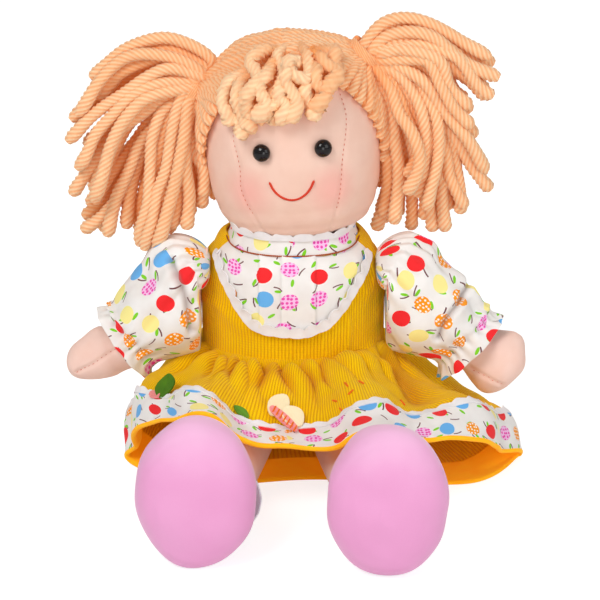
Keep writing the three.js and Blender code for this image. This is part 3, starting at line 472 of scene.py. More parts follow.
def step_lengths(points, axis=0):
    """The distance from each point to the next."""
    return np.linalg.norm(np.diff(points, axis=axis), axis=-1)


def travelled(steps):
    """The distance from the start to each point."""
    return np.concatenate([[0.0], np.cumsum(steps)])


def down_cloth(grid):
    """How far down the cloth each row lies."""
    return travelled(step_lengths(grid).mean(axis=1))[:, None]


def measured_map(grid, wraps):
    """Across and along each grid point, in millimetres, for the cloth map."""
    steps = step_lengths(closed_rings(grid, wraps), 1)
    widest = steps[np.argmax(steps.sum(axis=1))]
    return stacked(travelled(widest)[None, :], down_cloth(grid))


def row_map(grid):
    """A cloth map that keeps every row's own width, measured from the row's middle."""
    across = np.concatenate([np.zeros((len(grid), 1)), np.cumsum(step_lengths(grid, 1), axis=1)], axis=1)
    return stacked(across - across[:, grid.shape[1] // 2][:, None], down_cloth(grid))


def grid_quads(rows, columns, wraps):
    """Corner indices of a grid's faces, and the same corners in its cloth map."""
    map_columns = columns + 1 if wraps else columns
    r, c = np.meshgrid(np.arange(rows - 1), np.arange(map_columns - 1), indexing="ij")
    corners = [(r, c), (r, c + 1), (r + 1, c + 1), (r + 1, c)]
    points = stacked(*(a * columns + b % columns for a, b in corners)).reshape(-1, 4)
    places = stacked(*(a * map_columns + b for a, b in corners)).reshape(-1, 4)
    return points, places


def volume_of(points, faces):
    """Six times the volume that the faces enclose, positive where they point outwards."""
    total = 0.0
    for k in range(1, faces.shape[1] - 1):
        a, b, c = (points[faces[:, i]] for i in (0, k, k + 1))
        total += np.einsum("ij,ij->i", a, np.cross(b, c)).sum()
    return total


def make_piece(name, points, faces, places, cloth_map, finish):
    """A mesh piece from points in millimetres, faces of four corners and their cloth map."""
    if volume_of(points, faces) < 0:
        faces = faces[:, ::-1]
        places = places[:, ::-1]
    mesh = bpy.data.meshes.new(name)
    mesh.from_pydata((points * METRES).tolist(), [], [list(dict.fromkeys(f)) for f in faces.tolist()])
    layer = mesh.uv_layers.new(name="cloth")
    flat = cloth_map.reshape(-1, 2)
    corners = [flat[p[i]] for f, p in zip(faces.tolist(), places.tolist()) for i in first_uses(f)]
    layer.data.foreach_set("uv", np.array(corners, np.float32).ravel())
    mesh.polygons.foreach_set("use_smooth", [True] * len(mesh.polygons))
    mesh.materials.append(finish.material)
    return add_object(name, mesh)


def first_uses(face):
    """Positions of a face's corners, leaving out a repeated one."""
    return [i for i, corner in enumerate(face) if face.index(corner) == i]


# %% Stuffed forms and cloth sheets


def stuffed_piece(name, grid, finish):
    """A closed stuffed form: rings of points, with a pole at each end."""
    rows, columns, _ = grid.shape
    points = np.concatenate([grid.reshape(-1, 3), [grid[0].mean(axis=0), grid[-1].mean(axis=0)]])
    faces, places = grid_quads(rows, columns, True)
    around = np.arange(columns)
    after = (around + 1) % columns
    last, pole = (rows - 1) * columns, rows * columns
    head_fan = stacked(after, around, pole, pole)
    tail_fan = stacked(last + around, last + after, pole + 1, pole + 1)
    head_places = stacked(around + 1, around, around, around)
    tail_places = (rows - 1) * (columns + 1) + stacked(around, around + 1, around, around)
    faces = np.concatenate([faces, head_fan, tail_fan])
    places = np.concatenate([places, head_places, tail_places])
    return make_piece(name, points, faces, places, measured_map(grid, True), finish)


def grid_normals(grid, wraps):
    """Unit normals of a grid's surface."""
    if wraps:
        across = np.roll(grid, -1, axis=1) - np.roll(grid, 1, axis=1)
    else:
        across = np.gradient(grid, axis=1)
    return unit(np.cross(across, np.gradient(grid, axis=0)))


OFF_FLOOR = 0.02


def sheet_piece(name, grid, finish, thickness, wraps, cloth_map=None, outwards=None):
    """A closed sheet of cloth about a middle surface; nothing of it goes under the floor."""
    rows, columns, _ = grid.shape
    cloth_map = measured_map(grid, wraps) if cloth_map is None else cloth_map
    normals = grid_normals(grid, wraps) if outwards is None else outwards
    outer = grid + normals * thickness / 2
    inner = grid - normals * thickness / 2
    points = np.concatenate([outer.reshape(-1, 3), inner.reshape(-1, 3)])
    points[:, 2] = np.maximum(points[:, 2], OFF_FLOOR)
    faces, places = grid_quads(rows, columns, wraps)
    back = rows * columns
    edges, edge_places = rim_quads(rows, columns, wraps)
    all_faces = np.concatenate([faces, faces[:, ::-1] + back, edges])
    all_places = np.concatenate([places, places[:, ::-1], edge_places])
    piece = make_piece(name, points, all_faces, all_places, cloth_map, finish)
    sharpen_rim(piece, len(edges))
    return piece


def keep_values(piece, key, values):
    """Keeps a number for each point of a piece, for its finish to read."""
    layer = piece.data.attributes.new(key, "FLOAT", "POINT")
    layer.data.foreach_set("value", np.asarray(values, np.float32))


def mark_creases(piece, values):
    """Keeps on a sheet how deep its folds are, 0 to 1, so that its finish can paint shade there."""
    keep_values(piece, "crease", np.tile(np.clip(values, 0, 1).ravel(), 2))


def sharpen_rim(piece, count):
    """Keeps a sheet's thin edges from rounding its faces; its last faces are the edges."""
    mesh = piece.data
    sharp = np.zeros(len(mesh.edges), bool)
    starts = len(mesh.polygons) - count
    first_loop = mesh.polygons[starts].loop_start
    uses = np.zeros(len(mesh.loops), np.int32)
    mesh.loops.foreach_get("edge_index", uses)
    sharp[uses[first_loop:]] = True
    layer = mesh.attributes.new("sharp_edge", "BOOLEAN", "EDGE")
    layer.data.foreach_set("value", sharp)


def rim_quads(rows, columns, wraps):
    """Faces that close a sheet along its edges."""
    map_columns = columns + 1 if wraps else columns
    back = rows * columns
    c = np.arange(map_columns - 1)
    loops = []
    for r, flip in ((0, False), (rows - 1, True)):
        start, place = r * columns, r * map_columns + c
        loops.append((start + c, start + (c + 1) % columns, place, place + 1, flip))
    if not wraps:
        r = np.arange(rows - 1) * columns
        for c, flip in ((0, True), (columns - 1, False)):
            loops.append((r + c, r + columns + c) * 2 + (flip,))
    faces, places = [], []
    for a, b, pa, pb, flip in loops:
        quad = stacked(b, a, a + back, b + back)
        place = stacked(pb, pa, pa, pb)
        faces.append(quad[:, ::-1] if flip else quad)
        places.append(place[:, ::-1] if flip else place)
    return np.concatenate(faces), np.concatenate(places)


# %% Smooth tables, smooth lines and soft unevenness


def hermite(a, b, slope_a, slope_b, t):
    """A smooth step from a to b with given slopes."""
    first = a * (1 + 2 * t) * (1 - t) ** 2 + slope_a * t * (1 - t) ** 2
    return first + b * t * t * (3 - 2 * t) - slope_b * t * t * (1 - t)


def smooth_table(rows, places):
    """Reads a table by smooth curves between its rows; the first value of a row is the place."""
    table = np.array(rows, float)
    x = table[:, 0]
    values = table[:, 1:]
    slopes = np.gradient(values, x, axis=0)
    places = np.clip(np.asarray(places, float), x[0], x[-1])
    k = np.clip(np.searchsorted(x, places, side="right") - 1, 0, len(x) - 2)
    width = (x[k + 1] - x[k])[..., None]
    t = ((places - x[k])[..., None]) / width
    return hermite(values[k], values[k + 1], slopes[k] * width, slopes[k + 1] * width, t)


def smooth_line(points, count):
    """A smooth line through the points, with evenly numbered steps."""
    rows = [[k, *point] for k, point in enumerate(points)]
    return smooth_table(rows, np.linspace(0, len(points) - 1, count))


def unevenness(points, size, seed, waves=9):
    """Soft random bumps of about this size, mostly from -1 to 1."""
    draw = np.random.default_rng(seed)
    turns = draw.normal(size=(waves, 3))
    turns /= np.linalg.norm(turns, axis=1, keepdims=True)
    turns *= 2 * math.pi / size * draw.uniform(0.6, 1.3, (waves, 1))
    phases = draw.uniform(0, 2 * math.pi, waves)
    return np.sin(points @ turns.T + phases).sum(axis=-1) / math.sqrt(waves)


def smooth_step(values, low, high):
    t = np.clip((np.asarray(values, float) - low) / (high - low), 0, 1)
    return t * t * (3 - 2 * t)


def unit(vectors):
    return vectors / np.maximum(np.linalg.norm(vectors, axis=-1, keepdims=True), 1e-9)


# %% [markdown]
# ## Yarn and stitches with Geometry Nodes
#
# A ply yarn is a few strands twisted together. The tree below sweeps a six-lobed section along a
# curve and turns it steadily by the curve's tilt, which is just how yarn is laid. It keeps the
# depth of the groove at every point for the yarn's finish. The second tree sets one small stitch
# after another along a curve. Both trees are turned into plain meshes when a piece is finished.

# %% The yarn tree
YARN_PITCH = 16.5
YARN_GROOVE = 0.15
BY_LENGTH = {"mode": "LENGTH"}


def new_tree(name, sizes):
    """A geometry tree with a geometry input, named sizes and a material."""
    tree = bpy.data.node_groups.new(name, "GeometryNodeTree")
    face = tree.interface
    face.new_socket("Geometry", in_out="INPUT", socket_type="NodeSocketGeometry")
    for size in sizes:
        face.new_socket(size, in_out="INPUT", socket_type="NodeSocketFloat")
    face.new_socket("Finish", in_out="INPUT", socket_type="NodeSocketMaterial")
    face.new_socket("Geometry", in_out="OUTPUT", socket_type="NodeSocketGeometry")
    return tree


def tree_node(tree, kind, settings=None, **values):
    """A node of a geometry tree with its settings, values and links."""
    node = tree.nodes.new(kind)
    for key, value in (settings or {}).items():
        setattr(node, key, value)
    for key, value in values.items():
        number = key.startswith("input_")
        socket = node.inputs[int(key[6:])] if number else node.inputs[key.replace("_", " ")]
        if isinstance(value, bpy.types.Node):
            value = value.outputs[0]
        if isinstance(value, bpy.types.NodeSocket):
            tree.links.new(value, socket)
        else:
            socket.default_value = value
    return node


def close_tree(tree, given, made):
    """Shades what the tree made smoothly, gives it the finish and sends it out."""
    smooth = tree_node(tree, "GeometryNodeSetShadeSmooth", Geometry=made)
    coloured = tree_node(tree, "GeometryNodeSetMaterial", Geometry=smooth, Material=given["Finish"])
    tree_node(tree, "NodeGroupOutput", Geometry=coloured)
    return tree


def yarn_tree():
    """Sweeps a twisted six-ply section along curves."""
    tree = new_tree("yarn", ("Step", "Pitch", "Groove"))
    node = partial(tree_node, tree)
    given = node("NodeGroupInput").outputs

    def maths(operation, first, second):
        return node("ShaderNodeMath", {"operation": operation}, input_0=first, input_1=second)

    line = node("GeometryNodeResampleCurve", BY_LENGTH, Curve=given["Geometry"], Length=given["Step"])
    turns = maths("DIVIDE", node("GeometryNodeSplineParameter").outputs["Length"], given["Pitch"])
    laid = node("GeometryNodeSetCurveTilt", Curve=line, Tilt=maths("MULTIPLY", turns, 2 * math.pi))
    ring = node("GeometryNodeCurvePrimitiveCircle", Resolution=12, Radius=1.0)
    between = maths("GREATER_THAN", maths("MODULO", node("GeometryNodeInputIndex"), 2.0), 0.5)
    reach = maths("SUBTRACT", 1.0, maths("MULTIPLY", between, given["Groove"]))
    spot = node("GeometryNodeInputPosition")
    drawn = node("ShaderNodeVectorMath", {"operation": "SCALE"}, Vector=spot, Scale=reach)
    section = node("GeometryNodeSetPosition", Geometry=ring, Position=drawn)
    kept = node(
        "GeometryNodeStoreNamedAttribute", {"data_type": "FLOAT", "domain": "POINT"},
        Geometry=section, Name="groove", Value=between,
    )
    thick = node("GeometryNodeInputRadius")
    swept = node("GeometryNodeCurveToMesh", Curve=laid, Profile_Curve=kept, Scale=thick, Fill_Caps=True)
    return close_tree(tree, given, swept)


def stitch_tree():
    """Sets one rounded stitch after another along curves."""
    tree = new_tree("stitches", ("Spacing", "Length", "Thickness"))
    node = partial(tree_node, tree)
    given = node("NodeGroupInput").outputs
    spots = node("GeometryNodeCurveToPoints", BY_LENGTH, Curve=given["Geometry"], Length=given["Spacing"])
    facing = node("FunctionNodeAlignRotationToVector", {"axis": "Z"}, Vector=spots.outputs["Tangent"])
    ball = node("GeometryNodeMeshUVSphere", Segments=8, Rings=6, Radius=0.5)
    size = node("ShaderNodeCombineXYZ", X=given["Thickness"], Y=given["Thickness"], Z=given["Length"])
    placed = node("GeometryNodeInstanceOnPoints", Points=spots, Instance=ball, Rotation=facing, Scale=size)
    return close_tree(tree, given, node("GeometryNodeRealizeInstances", Geometry=placed))


YARN_TREE = yarn_tree()
STITCH_TREE = stitch_tree()

# %% Pieces from curves


def curve_object(name, lines, radii=None):
    """A curve object of open lines in millimetres, with the radius of each point."""
    data = bpy.data.curves.new(name, "CURVE")
    data.dimensions = "3D"
    for k, line in enumerate(lines):
        spline = data.splines.new("POLY")
        spline.points.add(len(line) - 1)
        flat = np.concatenate([np.asarray(line) * METRES, np.ones((len(line), 1))], axis=1)
        spline.points.foreach_set("co", flat.astype(np.float32).ravel())
        if radii is not None:
            spline.points.foreach_set("radius", (np.asarray(radii[k]) * METRES).astype(np.float32))
    return add_object(name, data)


def finished(curves, tree, finish, **sizes):
    """Runs a tree on a curve object and keeps the result as a plain mesh piece."""
    name = curves.name
    modifier = curves.modifiers.new("made", "NODES")
    modifier.node_group = tree
    for item in tree.interface.items_tree:
        if item.in_out == "INPUT" and item.name in sizes:
            unit_size = 1 if item.name == "Groove" else METRES
            modifier[item.identifier] = sizes[item.name] * unit_size
        if item.in_out == "INPUT" and item.name == "Finish":
            modifier[item.identifier] = finish.material
    graph = bpy.context.evaluated_depsgraph_get()
    mesh = bpy.data.meshes.new_from_object(curves.evaluated_get(graph), depsgraph=graph)
    curve = curves.data
    bpy.data.objects.remove(curves)
    bpy.data.curves.remove(curve)
    mesh.name = name
    if not mesh.materials:
        mesh.materials.append(finish.material)
    return add_object(name, mesh)


def yarn_piece(name, lines, radii, shades, step=1.05, groove=YARN_GROOVE):
    """Twisted yarn along lines; shades are painted shade along each strand from its root to its tip."""
    curves = curve_object(name, lines, radii)
    piece = finished(curves, YARN_TREE, yarn_wool, Step=step, Pitch=YARN_PITCH, Groove=groove)
    paint_strands(piece, lines, shades)
    return piece


def paint_strands(piece, lines, shades):
    """Gives every vertex the shade of the nearest strand point."""
    points = np.concatenate([np.asarray(line) for line in lines]) * METRES
    values = np.concatenate([np.asarray(shade) for shade in shades])
    tree = KDTree(len(points))
    for k, point in enumerate(points):
        tree.insert(point, k)
    tree.balance()
    found = [values[tree.find(vertex.co)[1]] for vertex in piece.data.vertices]
    keep_values(piece, "shade", found)


def roughen(piece, size, depth, seed):
    """Pushes the points of a yarn piece in and out a little, as brushed wool stands out."""
    mesh = piece.data
    count = len(mesh.vertices)
    points = np.zeros(count * 3, np.float32)
    normals = np.zeros(count * 3, np.float32)
    mesh.vertices.foreach_get("co", points)
    mesh.vertices.foreach_get("normal", normals)
    points = points.reshape(-1, 3) / METRES
    points += normals.reshape(-1, 3) * (unevenness(points, size, seed) * depth)[:, None]
    mesh.vertices.foreach_set("co", (points * METRES).astype(np.float32).ravel())
    mesh.update()


def stitched(name, lines, finish, spacing, length, thickness):
    """Rows of stitches along lines, in millimetres."""
    sizes = {"Spacing": spacing, "Length": length, "Thickness": thickness}
    return finished(curve_object(name, lines), STITCH_TREE, finish, **sizes)


print("trees:", YARN_TREE.name, STITCH_TREE.name)

# %% [markdown]
# ## Tables of the doll's forms
#
# Each form is a short table of shares, read by smooth curves. The frame's solids were drawn from
# the same numbers, so the cloth lands on them. A torso row is height, half width, half depth and
# lean. A skirt ring is twelve places from the front round to the doll's left, each across, back
# and up.

# %% Tables
TORSO_LEVELS = [
    [0, 0.8, 0.58, 0.24], [0.04, 0.92, 0.72, 0.17], [0.12, 1, 0.86, 0.1], [0.24, 1, 0.96, 0.03],
    [0.38, 0.98, 1, 0], [0.51, 0.955, 0.97, 0], [0.7, 0.955, 0.985, 0], [0.84, 0.94, 0.95, 0],
    [0.93, 0.87, 0.88, 0], [0.97, 0.79, 0.81, 0], [1, 0.68, 0.72, 0],
]
BIB_EDGE = [[0, 0.12], [0.08, 0.34], [0.25, 0.5], [0.5, 0.64], [0.75, 0.76], [1, 0.84]]
SKIRT_RINGS = [
    [
        [-0.01, -0.43, 0.555], [0.23, -0.41, 0.565], [0.42, -0.27, 0.53], [0.49, -0.04, 0.47],
        [0.49, 0.18, 0.44], [0.33, 0.36, 0.38], [0, 0.42, 0.34], [-0.3, 0.37, 0.38], [-0.48, 0.18, 0.44],
        [-0.49, -0.04, 0.47], [-0.43, -0.24, 0.52], [-0.26, -0.4, 0.565],
    ],
    [
        [-0.02, -0.51, 0.515], [0.24, -0.52, 0.55], [0.47, -0.38, 0.49], [0.6, -0.13, 0.4],
        [0.66, 0.18, 0.32], [0.5, 0.38, 0.05], [0.02, 0.42, 0.03], [-0.38, 0.4, 0.04], [-0.57, 0.18, 0.32],
        [-0.6, -0.1, 0.42], [-0.51, -0.34, 0.48], [-0.31, -0.5, 0.55],
    ],
    [
        [-0.03, -0.62, 0.44], [0.26, -0.66, 0.52], [0.54, -0.52, 0.47], [0.76, -0.28, 0.35],
        [0.86, 0.08, 0.2], [0.62, 0.08, 0], [0.04, 0.1, 0], [-0.38, 0.06, 0], [-0.68, 0.1, 0.2],
        [-0.7, -0.18, 0.4], [-0.58, -0.43, 0.47], [-0.36, -0.63, 0.53],
    ],
    [
        [-0.04, -0.76, 0.355], [0.28, -0.84, 0.485], [0.62, -0.69, 0.43], [0.92, -0.42, 0.33],
        [1.03, -0.06, 0.12], [0.76, -0.3, 0], [0.08, -0.24, 0], [-0.42, -0.3, 0], [-0.76, -0.08, 0.12],
        [-0.74, -0.28, 0.34], [-0.64, -0.56, 0.45], [-0.4, -0.8, 0.525],
    ],
    [
        [-0.02, -0.9, 0.33], [0.3, -1.04, 0.44], [0.66, -0.88, 0.38], [0.96, -0.52, 0.17],
        [1.09, -0.22, 0.01], [0.82, -0.54, 0], [0.1, -0.49, 0], [-0.45, -0.56, 0], [-0.76, -0.34, 0.02],
        [-0.76, -0.4, 0.14], [-0.62, -0.74, 0.4], [-0.38, -0.99, 0.5],
    ],
]
SKIRT_FOLDS = [
    [0.055, 0.022, -1], [0.105, 0.03, 0.9], [0.15, 0.026, -1.2], [0.21, 0.03, 0.8], [0.27, 0.024, -0.8],
    [0.36, 0.04, 0.7], [0.43, 0.03, -0.8], [0.5, 0.035, 0.8], [0.58, 0.03, -0.8], [0.66, 0.035, 0.7],
    [0.74, 0.026, -0.8], [0.8, 0.028, 0.8], [0.855, 0.022, -0.9], [0.905, 0.026, 0.9], [0.955, 0.02, -0.9],
]
HEAD_LEVELS = [
    [0, 0.4], [0.02, 0.63], [0.07, 0.81], [0.16, 0.93], [0.3, 0.985], [0.44, 1], [0.58, 0.985], [0.7, 0.925],
    [0.8, 0.82], [0.88, 0.67], [0.95, 0.45], [1, 0.05],
]
HAIR_EDGE = [
    [0, 0.84], [0.24, 0.78], [0.35, 0.6], [0.42, 0.46], [0.47, 0.34], [0.55, 0.18], [0.75, 0.1], [1, 0.08],
]
ARM_LINES = {
    "left": [
        [0, 0, 0], [0.08, 0, 0], [0.22, 0, -0.17], [0.36, -0.01, -0.37], [0.46, -0.02, -0.47],
        [0.6, -0.035, -0.53], [0.72, -0.05, -0.58], [0.78, -0.055, -0.61],
    ],
    "right": [
        [0, 0, 0], [0.08, 0, 0], [0.22, 0, -0.16], [0.4, -0.01, -0.36], [0.49, -0.02, -0.46],
        [0.58, -0.035, -0.55], [0.67, -0.045, -0.63], [0.72, -0.05, -0.69],
    ],
}
ARM_SIZES = [
    [0, 0.555, 0.555], [0.14, 0.555, 0.555], [0.3, 0.72, 0.7], [0.42, 0.82, 0.82], [0.56, 0.82, 0.82],
    [0.64, 0.82, 0.76], [0.75, 1, 0.84], [0.86, 0.98, 0.8], [0.95, 0.7, 0.58], [1, 0.3, 0.28],
]
SLEEVE_LINES = {
    "left": [
        [0.03, 0, 0.02], [0.16, 0, -0.13], [0.3, -0.01, -0.3], [0.38, -0.015, -0.4], [0.46, -0.02, -0.46],
    ],
    "right": [
        [0.03, 0, 0.02], [0.17, 0, -0.12], [0.34, -0.01, -0.29], [0.43, -0.015, -0.4], [0.51, -0.02, -0.48],
    ],
}
SLEEVE_SIZES = [
    [0, 0.78, 0.76], [0.12, 0.92, 0.86], [0.35, 1.02, 0.92], [0.55, 0.98, 0.86], [0.7, 0.82, 0.76],
    [0.79, 0.68, 0.67], [0.84, 0.68, 0.67], [1, 0.86, 0.8],
]
LEG_LINE = [[0, 0, 0], [0.05, -0.3, 0], [0.1, -0.6, -0.01], [0.155, -0.9, -0.01], [0.18, -1.06, 0]]
LEG_SIZES = [[0, 0.97, 1], [0.2, 1, 1], [0.5, 0.94, 0.93], [0.8, 0.84, 0.84], [1, 0.84, 0.84]]
SHOE_SWELL = [
    [0, 0.12], [0.06, 0.46], [0.16, 0.7], [0.3, 0.88], [0.45, 0.97], [0.6, 1], [0.7, 0.985], [0.8, 0.9],
    [0.9, 0.7], [0.96, 0.46], [1, 0.12],
]
print("skirt rings:", len(SKIRT_RINGS), "columns:", len(SKIRT_RINGS[0]))

# %% [markdown]
# ## The torso and the dress's bodice
#
# The torso is a stack of ovals. A lift moves a layer outwards along the surface, so that each
# garment lies on the one below it. The bib has tucks, which are small steps in its lift, and the
# ruffle follows the bib's edge in a U.

# %% Points on the torso
TORSO_HALF_WIDTH = 43.0
TORSO_HALF_DEPTH = 34.0
TORSO_HEIGHT = 104.0
SEAT = 1.2
WAIST = 54.0
NECKLINE = 101.0
CLOTH = 0.9
COTTON = 0.6
DOUBLE_COTTON = 0.7
LACE = 0.5
BODICE_SIDE = 43.3
BODICE_LIFT = 0.75


def torso_share(height):
    return (height - SEAT) / (TORSO_HEIGHT - SEAT)


def widening(levels, shares, step, height):
    """How much wider a form is a step above than a step below, and the rise between them."""
    below, above = (smooth_table(levels, shares + way)[..., 0] for way in (-step, step))
    return above - below, (np.minimum(shares + step, 1) - np.maximum(shares - step, 0)) * height


def torso_points(shares, angles, lift=0.0):
    """Points on the torso by height share and angle; angle 0 is the front."""
    shares, angles = np.broadcast_arrays(np.asarray(shares, float), np.asarray(angles, float))
    width, depth, lean = np.moveaxis(smooth_table(TORSO_LEVELS, shares), -1, 0)
    wider, rise = widening(TORSO_LEVELS, shares, 0.02, TORSO_HEIGHT - SEAT)
    slope = wider * TORSO_HALF_WIDTH / rise
    length = np.hypot(1, slope)
    across = width * TORSO_HALF_WIDTH + lift / length
    back = depth * TORSO_HALF_DEPTH + lift / length
    return stacked(
        across * np.sin(angles),
        lean * TORSO_HALF_DEPTH - back * np.cos(angles),
        SEAT + shares * (TORSO_HEIGHT - SEAT) - lift * slope / length,
    )


def turn(count):
    """Angles once round, from the front towards the doll's left."""
    return np.arange(count) * 2 * math.pi / count


# %% Torso and neck
body_rows = torso_points(np.linspace(0, 1, 56)[:, None], turn(84)[None, :])
torso_body = stuffed_piece("torso_body", body_rows, limb_cloth)
neck_heights = np.linspace(-1, 0.9, 30)
neck_full = 16.0 * np.sqrt(np.clip(1 - neck_heights**2, 0.0004, 1))
neck_radii = neck_full + 9.0 * smooth_step(neck_heights, 0.25, 0.8)
neck_grid = stacked(
    neck_radii[:, None] * np.sin(turn(48))[None, :],
    -neck_radii[:, None] * np.cos(turn(48))[None, :],
    98.0 + 16.0 * neck_heights[:, None],
)
neck_body = stuffed_piece("neck_body", neck_grid, limb_cloth)

# %% Bodice and shoulder straps
def neck_share(angles):
    """The collar's foot: low in front and higher at the sides and back."""
    return torso_share(NECKLINE) + 0.026 * smooth_step(1 - np.cos(angles), 0.05, 0.9)


bodice_rows = np.linspace(0, 1, 44)[:, None]
bodice_angles = turn(180)[None, :]
bodice_low = torso_share(WAIST - 1.5)
bodice_shares = bodice_low + (neck_share(bodice_angles) + 0.008 - bodice_low) * bodice_rows
bodice_base = torso_points(bodice_shares, bodice_angles, BODICE_LIFT)
beside_bib = smooth_step(np.abs(np.sin(bodice_angles / 2)) + (1 - bodice_rows) * 0.75, 0.5, 0.8)
crumple = unevenness(bodice_base * (0.8, 0.8, 0.5), 20.0, 5)
bodice_creases = crumple * 0.35 + beside_bib * 1.1 * np.exp(-((crumple / 0.28) ** 2))
at_side = 1.4 * smooth_step(np.abs(np.sin(bodice_angles)), 0.85, 1.0)
bodice_lift = BODICE_LIFT + at_side + np.clip(bodice_creases, -0.4, 1.3)
bodice_grid = torso_points(bodice_shares, bodice_angles, bodice_lift)
bodice_grid[..., 0] = np.clip(bodice_grid[..., 0], -BODICE_SIDE, BODICE_SIDE)
bodice_cloth = sheet_piece("bodice_cloth", bodice_grid, corduroy, CLOTH, True)

strap_pieces = {}
for side, sign in SIDES:
    strap_rows = np.linspace(0, 1, 14)[:, None]
    angles = sign * np.linspace(0.36, 0.84, 60)[None, :] * math.pi
    shares = torso_share(95.2) + (torso_share(TORSO_HEIGHT) - torso_share(95.2)) * strap_rows
    lifts = 2.2 + 3.2 * smooth_step(strap_rows, 0.3, 1.0) * np.sin(np.linspace(0, math.pi, 60))[None, :]
    strap_grid = torso_points(shares, angles, lifts)
    strap_grid = strap_grid + unevenness(strap_grid, 9.0, 77)[..., None] * (0.0, 0.0, 0.5)
    strap_pieces[side] = sheet_piece("strap_" + side, strap_grid, corduroy, CLOTH, False)


# %% Bib with tucks
BIB_LOW = 67.0
BIB_LIFT = 2.55
TUCKS = (-15.3, -5.1, 10.0)


def bib_half_angle(v):
    """Half the bib's width as an angle, from its round foot to its top."""
    share = torso_share(BIB_LOW) + (torso_share(NECKLINE) - torso_share(BIB_LOW)) * v
    half = smooth_table(BIB_EDGE, v)[..., 0]
    width = smooth_table(TORSO_LEVELS, share)[..., 0]
    return np.arcsin(np.minimum(half / width, 0.95)), share


def tuck_height(across):
    """Each tuck rises slowly and drops sharply at its stitched edge."""
    height = np.zeros_like(across)
    for edge in TUCKS:
        gap = (across - edge) * math.copysign(1, edge)
        height += np.where(gap < 0, np.exp(gap / 3.2), np.exp(-gap / 0.3)) * 1.25
    return height


bib_v = np.linspace(0.0, 1.0, 50)
bib_half, bib_shares = bib_half_angle(bib_v)
bib_angles = bib_half[:, None] * np.linspace(-1, 1, 150)[None, :] * 0.95 - 0.05 * (1 - bib_v[:, None])
bib_rows = bib_shares[:, None] + (neck_share(bib_angles) - torso_share(NECKLINE)) * bib_v[:, None] ** 5
bib_flat = torso_points(bib_rows, bib_angles, BIB_LIFT)
bib_lift = BIB_LIFT + tuck_height(bib_flat[..., 0]) + unevenness(bib_flat, 12.0, 8) * 0.25
bib_grid = torso_points(bib_rows, bib_angles, bib_lift)
bib_cloth = sheet_piece("bib_cloth", bib_grid, printed_cotton, COTTON, False, row_map(bib_grid))


# %% Ruffles with scalloped edges
def ruffle(name, line, out, width, scallop, wave, lean):
    """A strip of lace along a line: the inner edge is sewn down, the outer edge is scalloped."""
    line = np.asarray(line, float)
    gone = travelled(step_lengths(line))
    count = max(round(gone[-1] / scallop), 1)
    phase = gone / gone[-1] * count * math.pi
    along = unit(np.gradient(line, axis=0))
    across = unit(np.cross(out, along))
    reach = np.linspace(-0.28, 1, 9)
    edge = width * (0.66 + 0.34 * np.abs(np.sin(phase)) ** 0.7)
    rise = wave * np.sin(phase * 2 + 0.6)
    ahead = np.clip(reach, 0, 1)[None, :]
    raised = rise[:, None] * ahead + lean * ahead**2
    grid = line[:, None, :] + across[:, None, :] * (edge[:, None] * reach[None, :])[..., None]
    grid = grid + out[:, None, :] * raised[..., None]
    return sheet_piece(name, np.swapaxes(grid, 0, 1), lace_cloth, LACE, False)


u_ends = 0.95
u_v = np.concatenate([np.linspace(u_ends, 0, 120), np.linspace(0, u_ends, 120)[1:]])
u_sign = np.concatenate([-np.ones(120), np.ones(119)])
u_half, u_shares = bib_half_angle(np.maximum(u_v, 0.0))
u_turn = u_sign * u_half * 0.95 - 0.05 * (1 - u_v)
u_angles = smooth_line(np.stack([u_turn, u_shares], axis=1)[::6], 420)
u_line = torso_points(u_angles[:, 1], u_angles[:, 0], 3.9)
u_out = unit(torso_points(u_angles[:, 1], u_angles[:, 0], 5.0) - u_line)
bib_lace = ruffle("bib_lace", u_line, u_out, 4.5, 7.0, 0.35, lean=0.3)

# %% Collar
COLLAR_RISE = 9.2
collar_angles = turn(340)
collar_up = np.linspace(0, 1, 20)[:, None]
collar_foot = torso_points(neck_share(collar_angles), collar_angles, 2.1)
collar_draw = 1 - 0.08 * np.sin(collar_up * math.pi / 2) + 0.03 * collar_up**3
collar_wave = 0.45 * np.sin(collar_angles * 9 + 2 * np.sin(collar_angles * 2))[None, :] * collar_up
collar_grid = stacked(
    collar_foot[None, :, 0] * collar_draw + collar_wave * np.sin(collar_angles),
    collar_foot[None, :, 1] * collar_draw - collar_wave * np.cos(collar_angles),
    collar_foot[None, :, 2] + 0.4 + collar_up * COLLAR_RISE,
)
collar_cloth = sheet_piece("collar_cloth", collar_grid, printed_cotton, DOUBLE_COTTON, True)

piping_line = np.concatenate([collar_grid[0], collar_grid[:1, 0]]) + (0.0, 0.0, 0.8)
piping_line = piping_line + unit(piping_line - (0.0, 0.0, NECKLINE)) * (1.0, 1.0, 0.0) * 1.0
collar_piping = stitched("collar_piping", [piping_line], piping_thread, 0.9, 1.5, 0.75)

lace_up = np.linspace(0, 1, 8)[:, None]
lace_scallop = 0.5 + 0.5 * np.abs(np.sin(collar_angles * 11))[None, :] ** 0.7
lace_out = lace_up * lace_scallop
collar_top = collar_grid[-1]
lace_grid = stacked(
    collar_top[None, :, 0] + (0.7 + lace_out * 0.9) * np.sin(collar_angles),
    collar_top[None, :, 1] - (0.7 + lace_out * 0.9) * np.cos(collar_angles),
    collar_top[None, :, 2] - 1.6 + lace_out * 4.2 + 0 * collar_angles[None, :],
)
collar_lace = sheet_piece("collar_lace", lace_grid, lace_cloth, LACE, True)
print("bodice points:", bodice_grid.shape, "bib points:", bib_grid.shape)

# %% [markdown]
# ## The skirt
#
# The skirt falls from the waist, crosses the lap and lies on the floor behind. Its rings come from
# the table, and pleats push the cloth in and out along its normal. It is sewn from six parts: a
# front, an under and an inner part for each leg. Neighbouring parts share their edge points and
# look like one cloth.

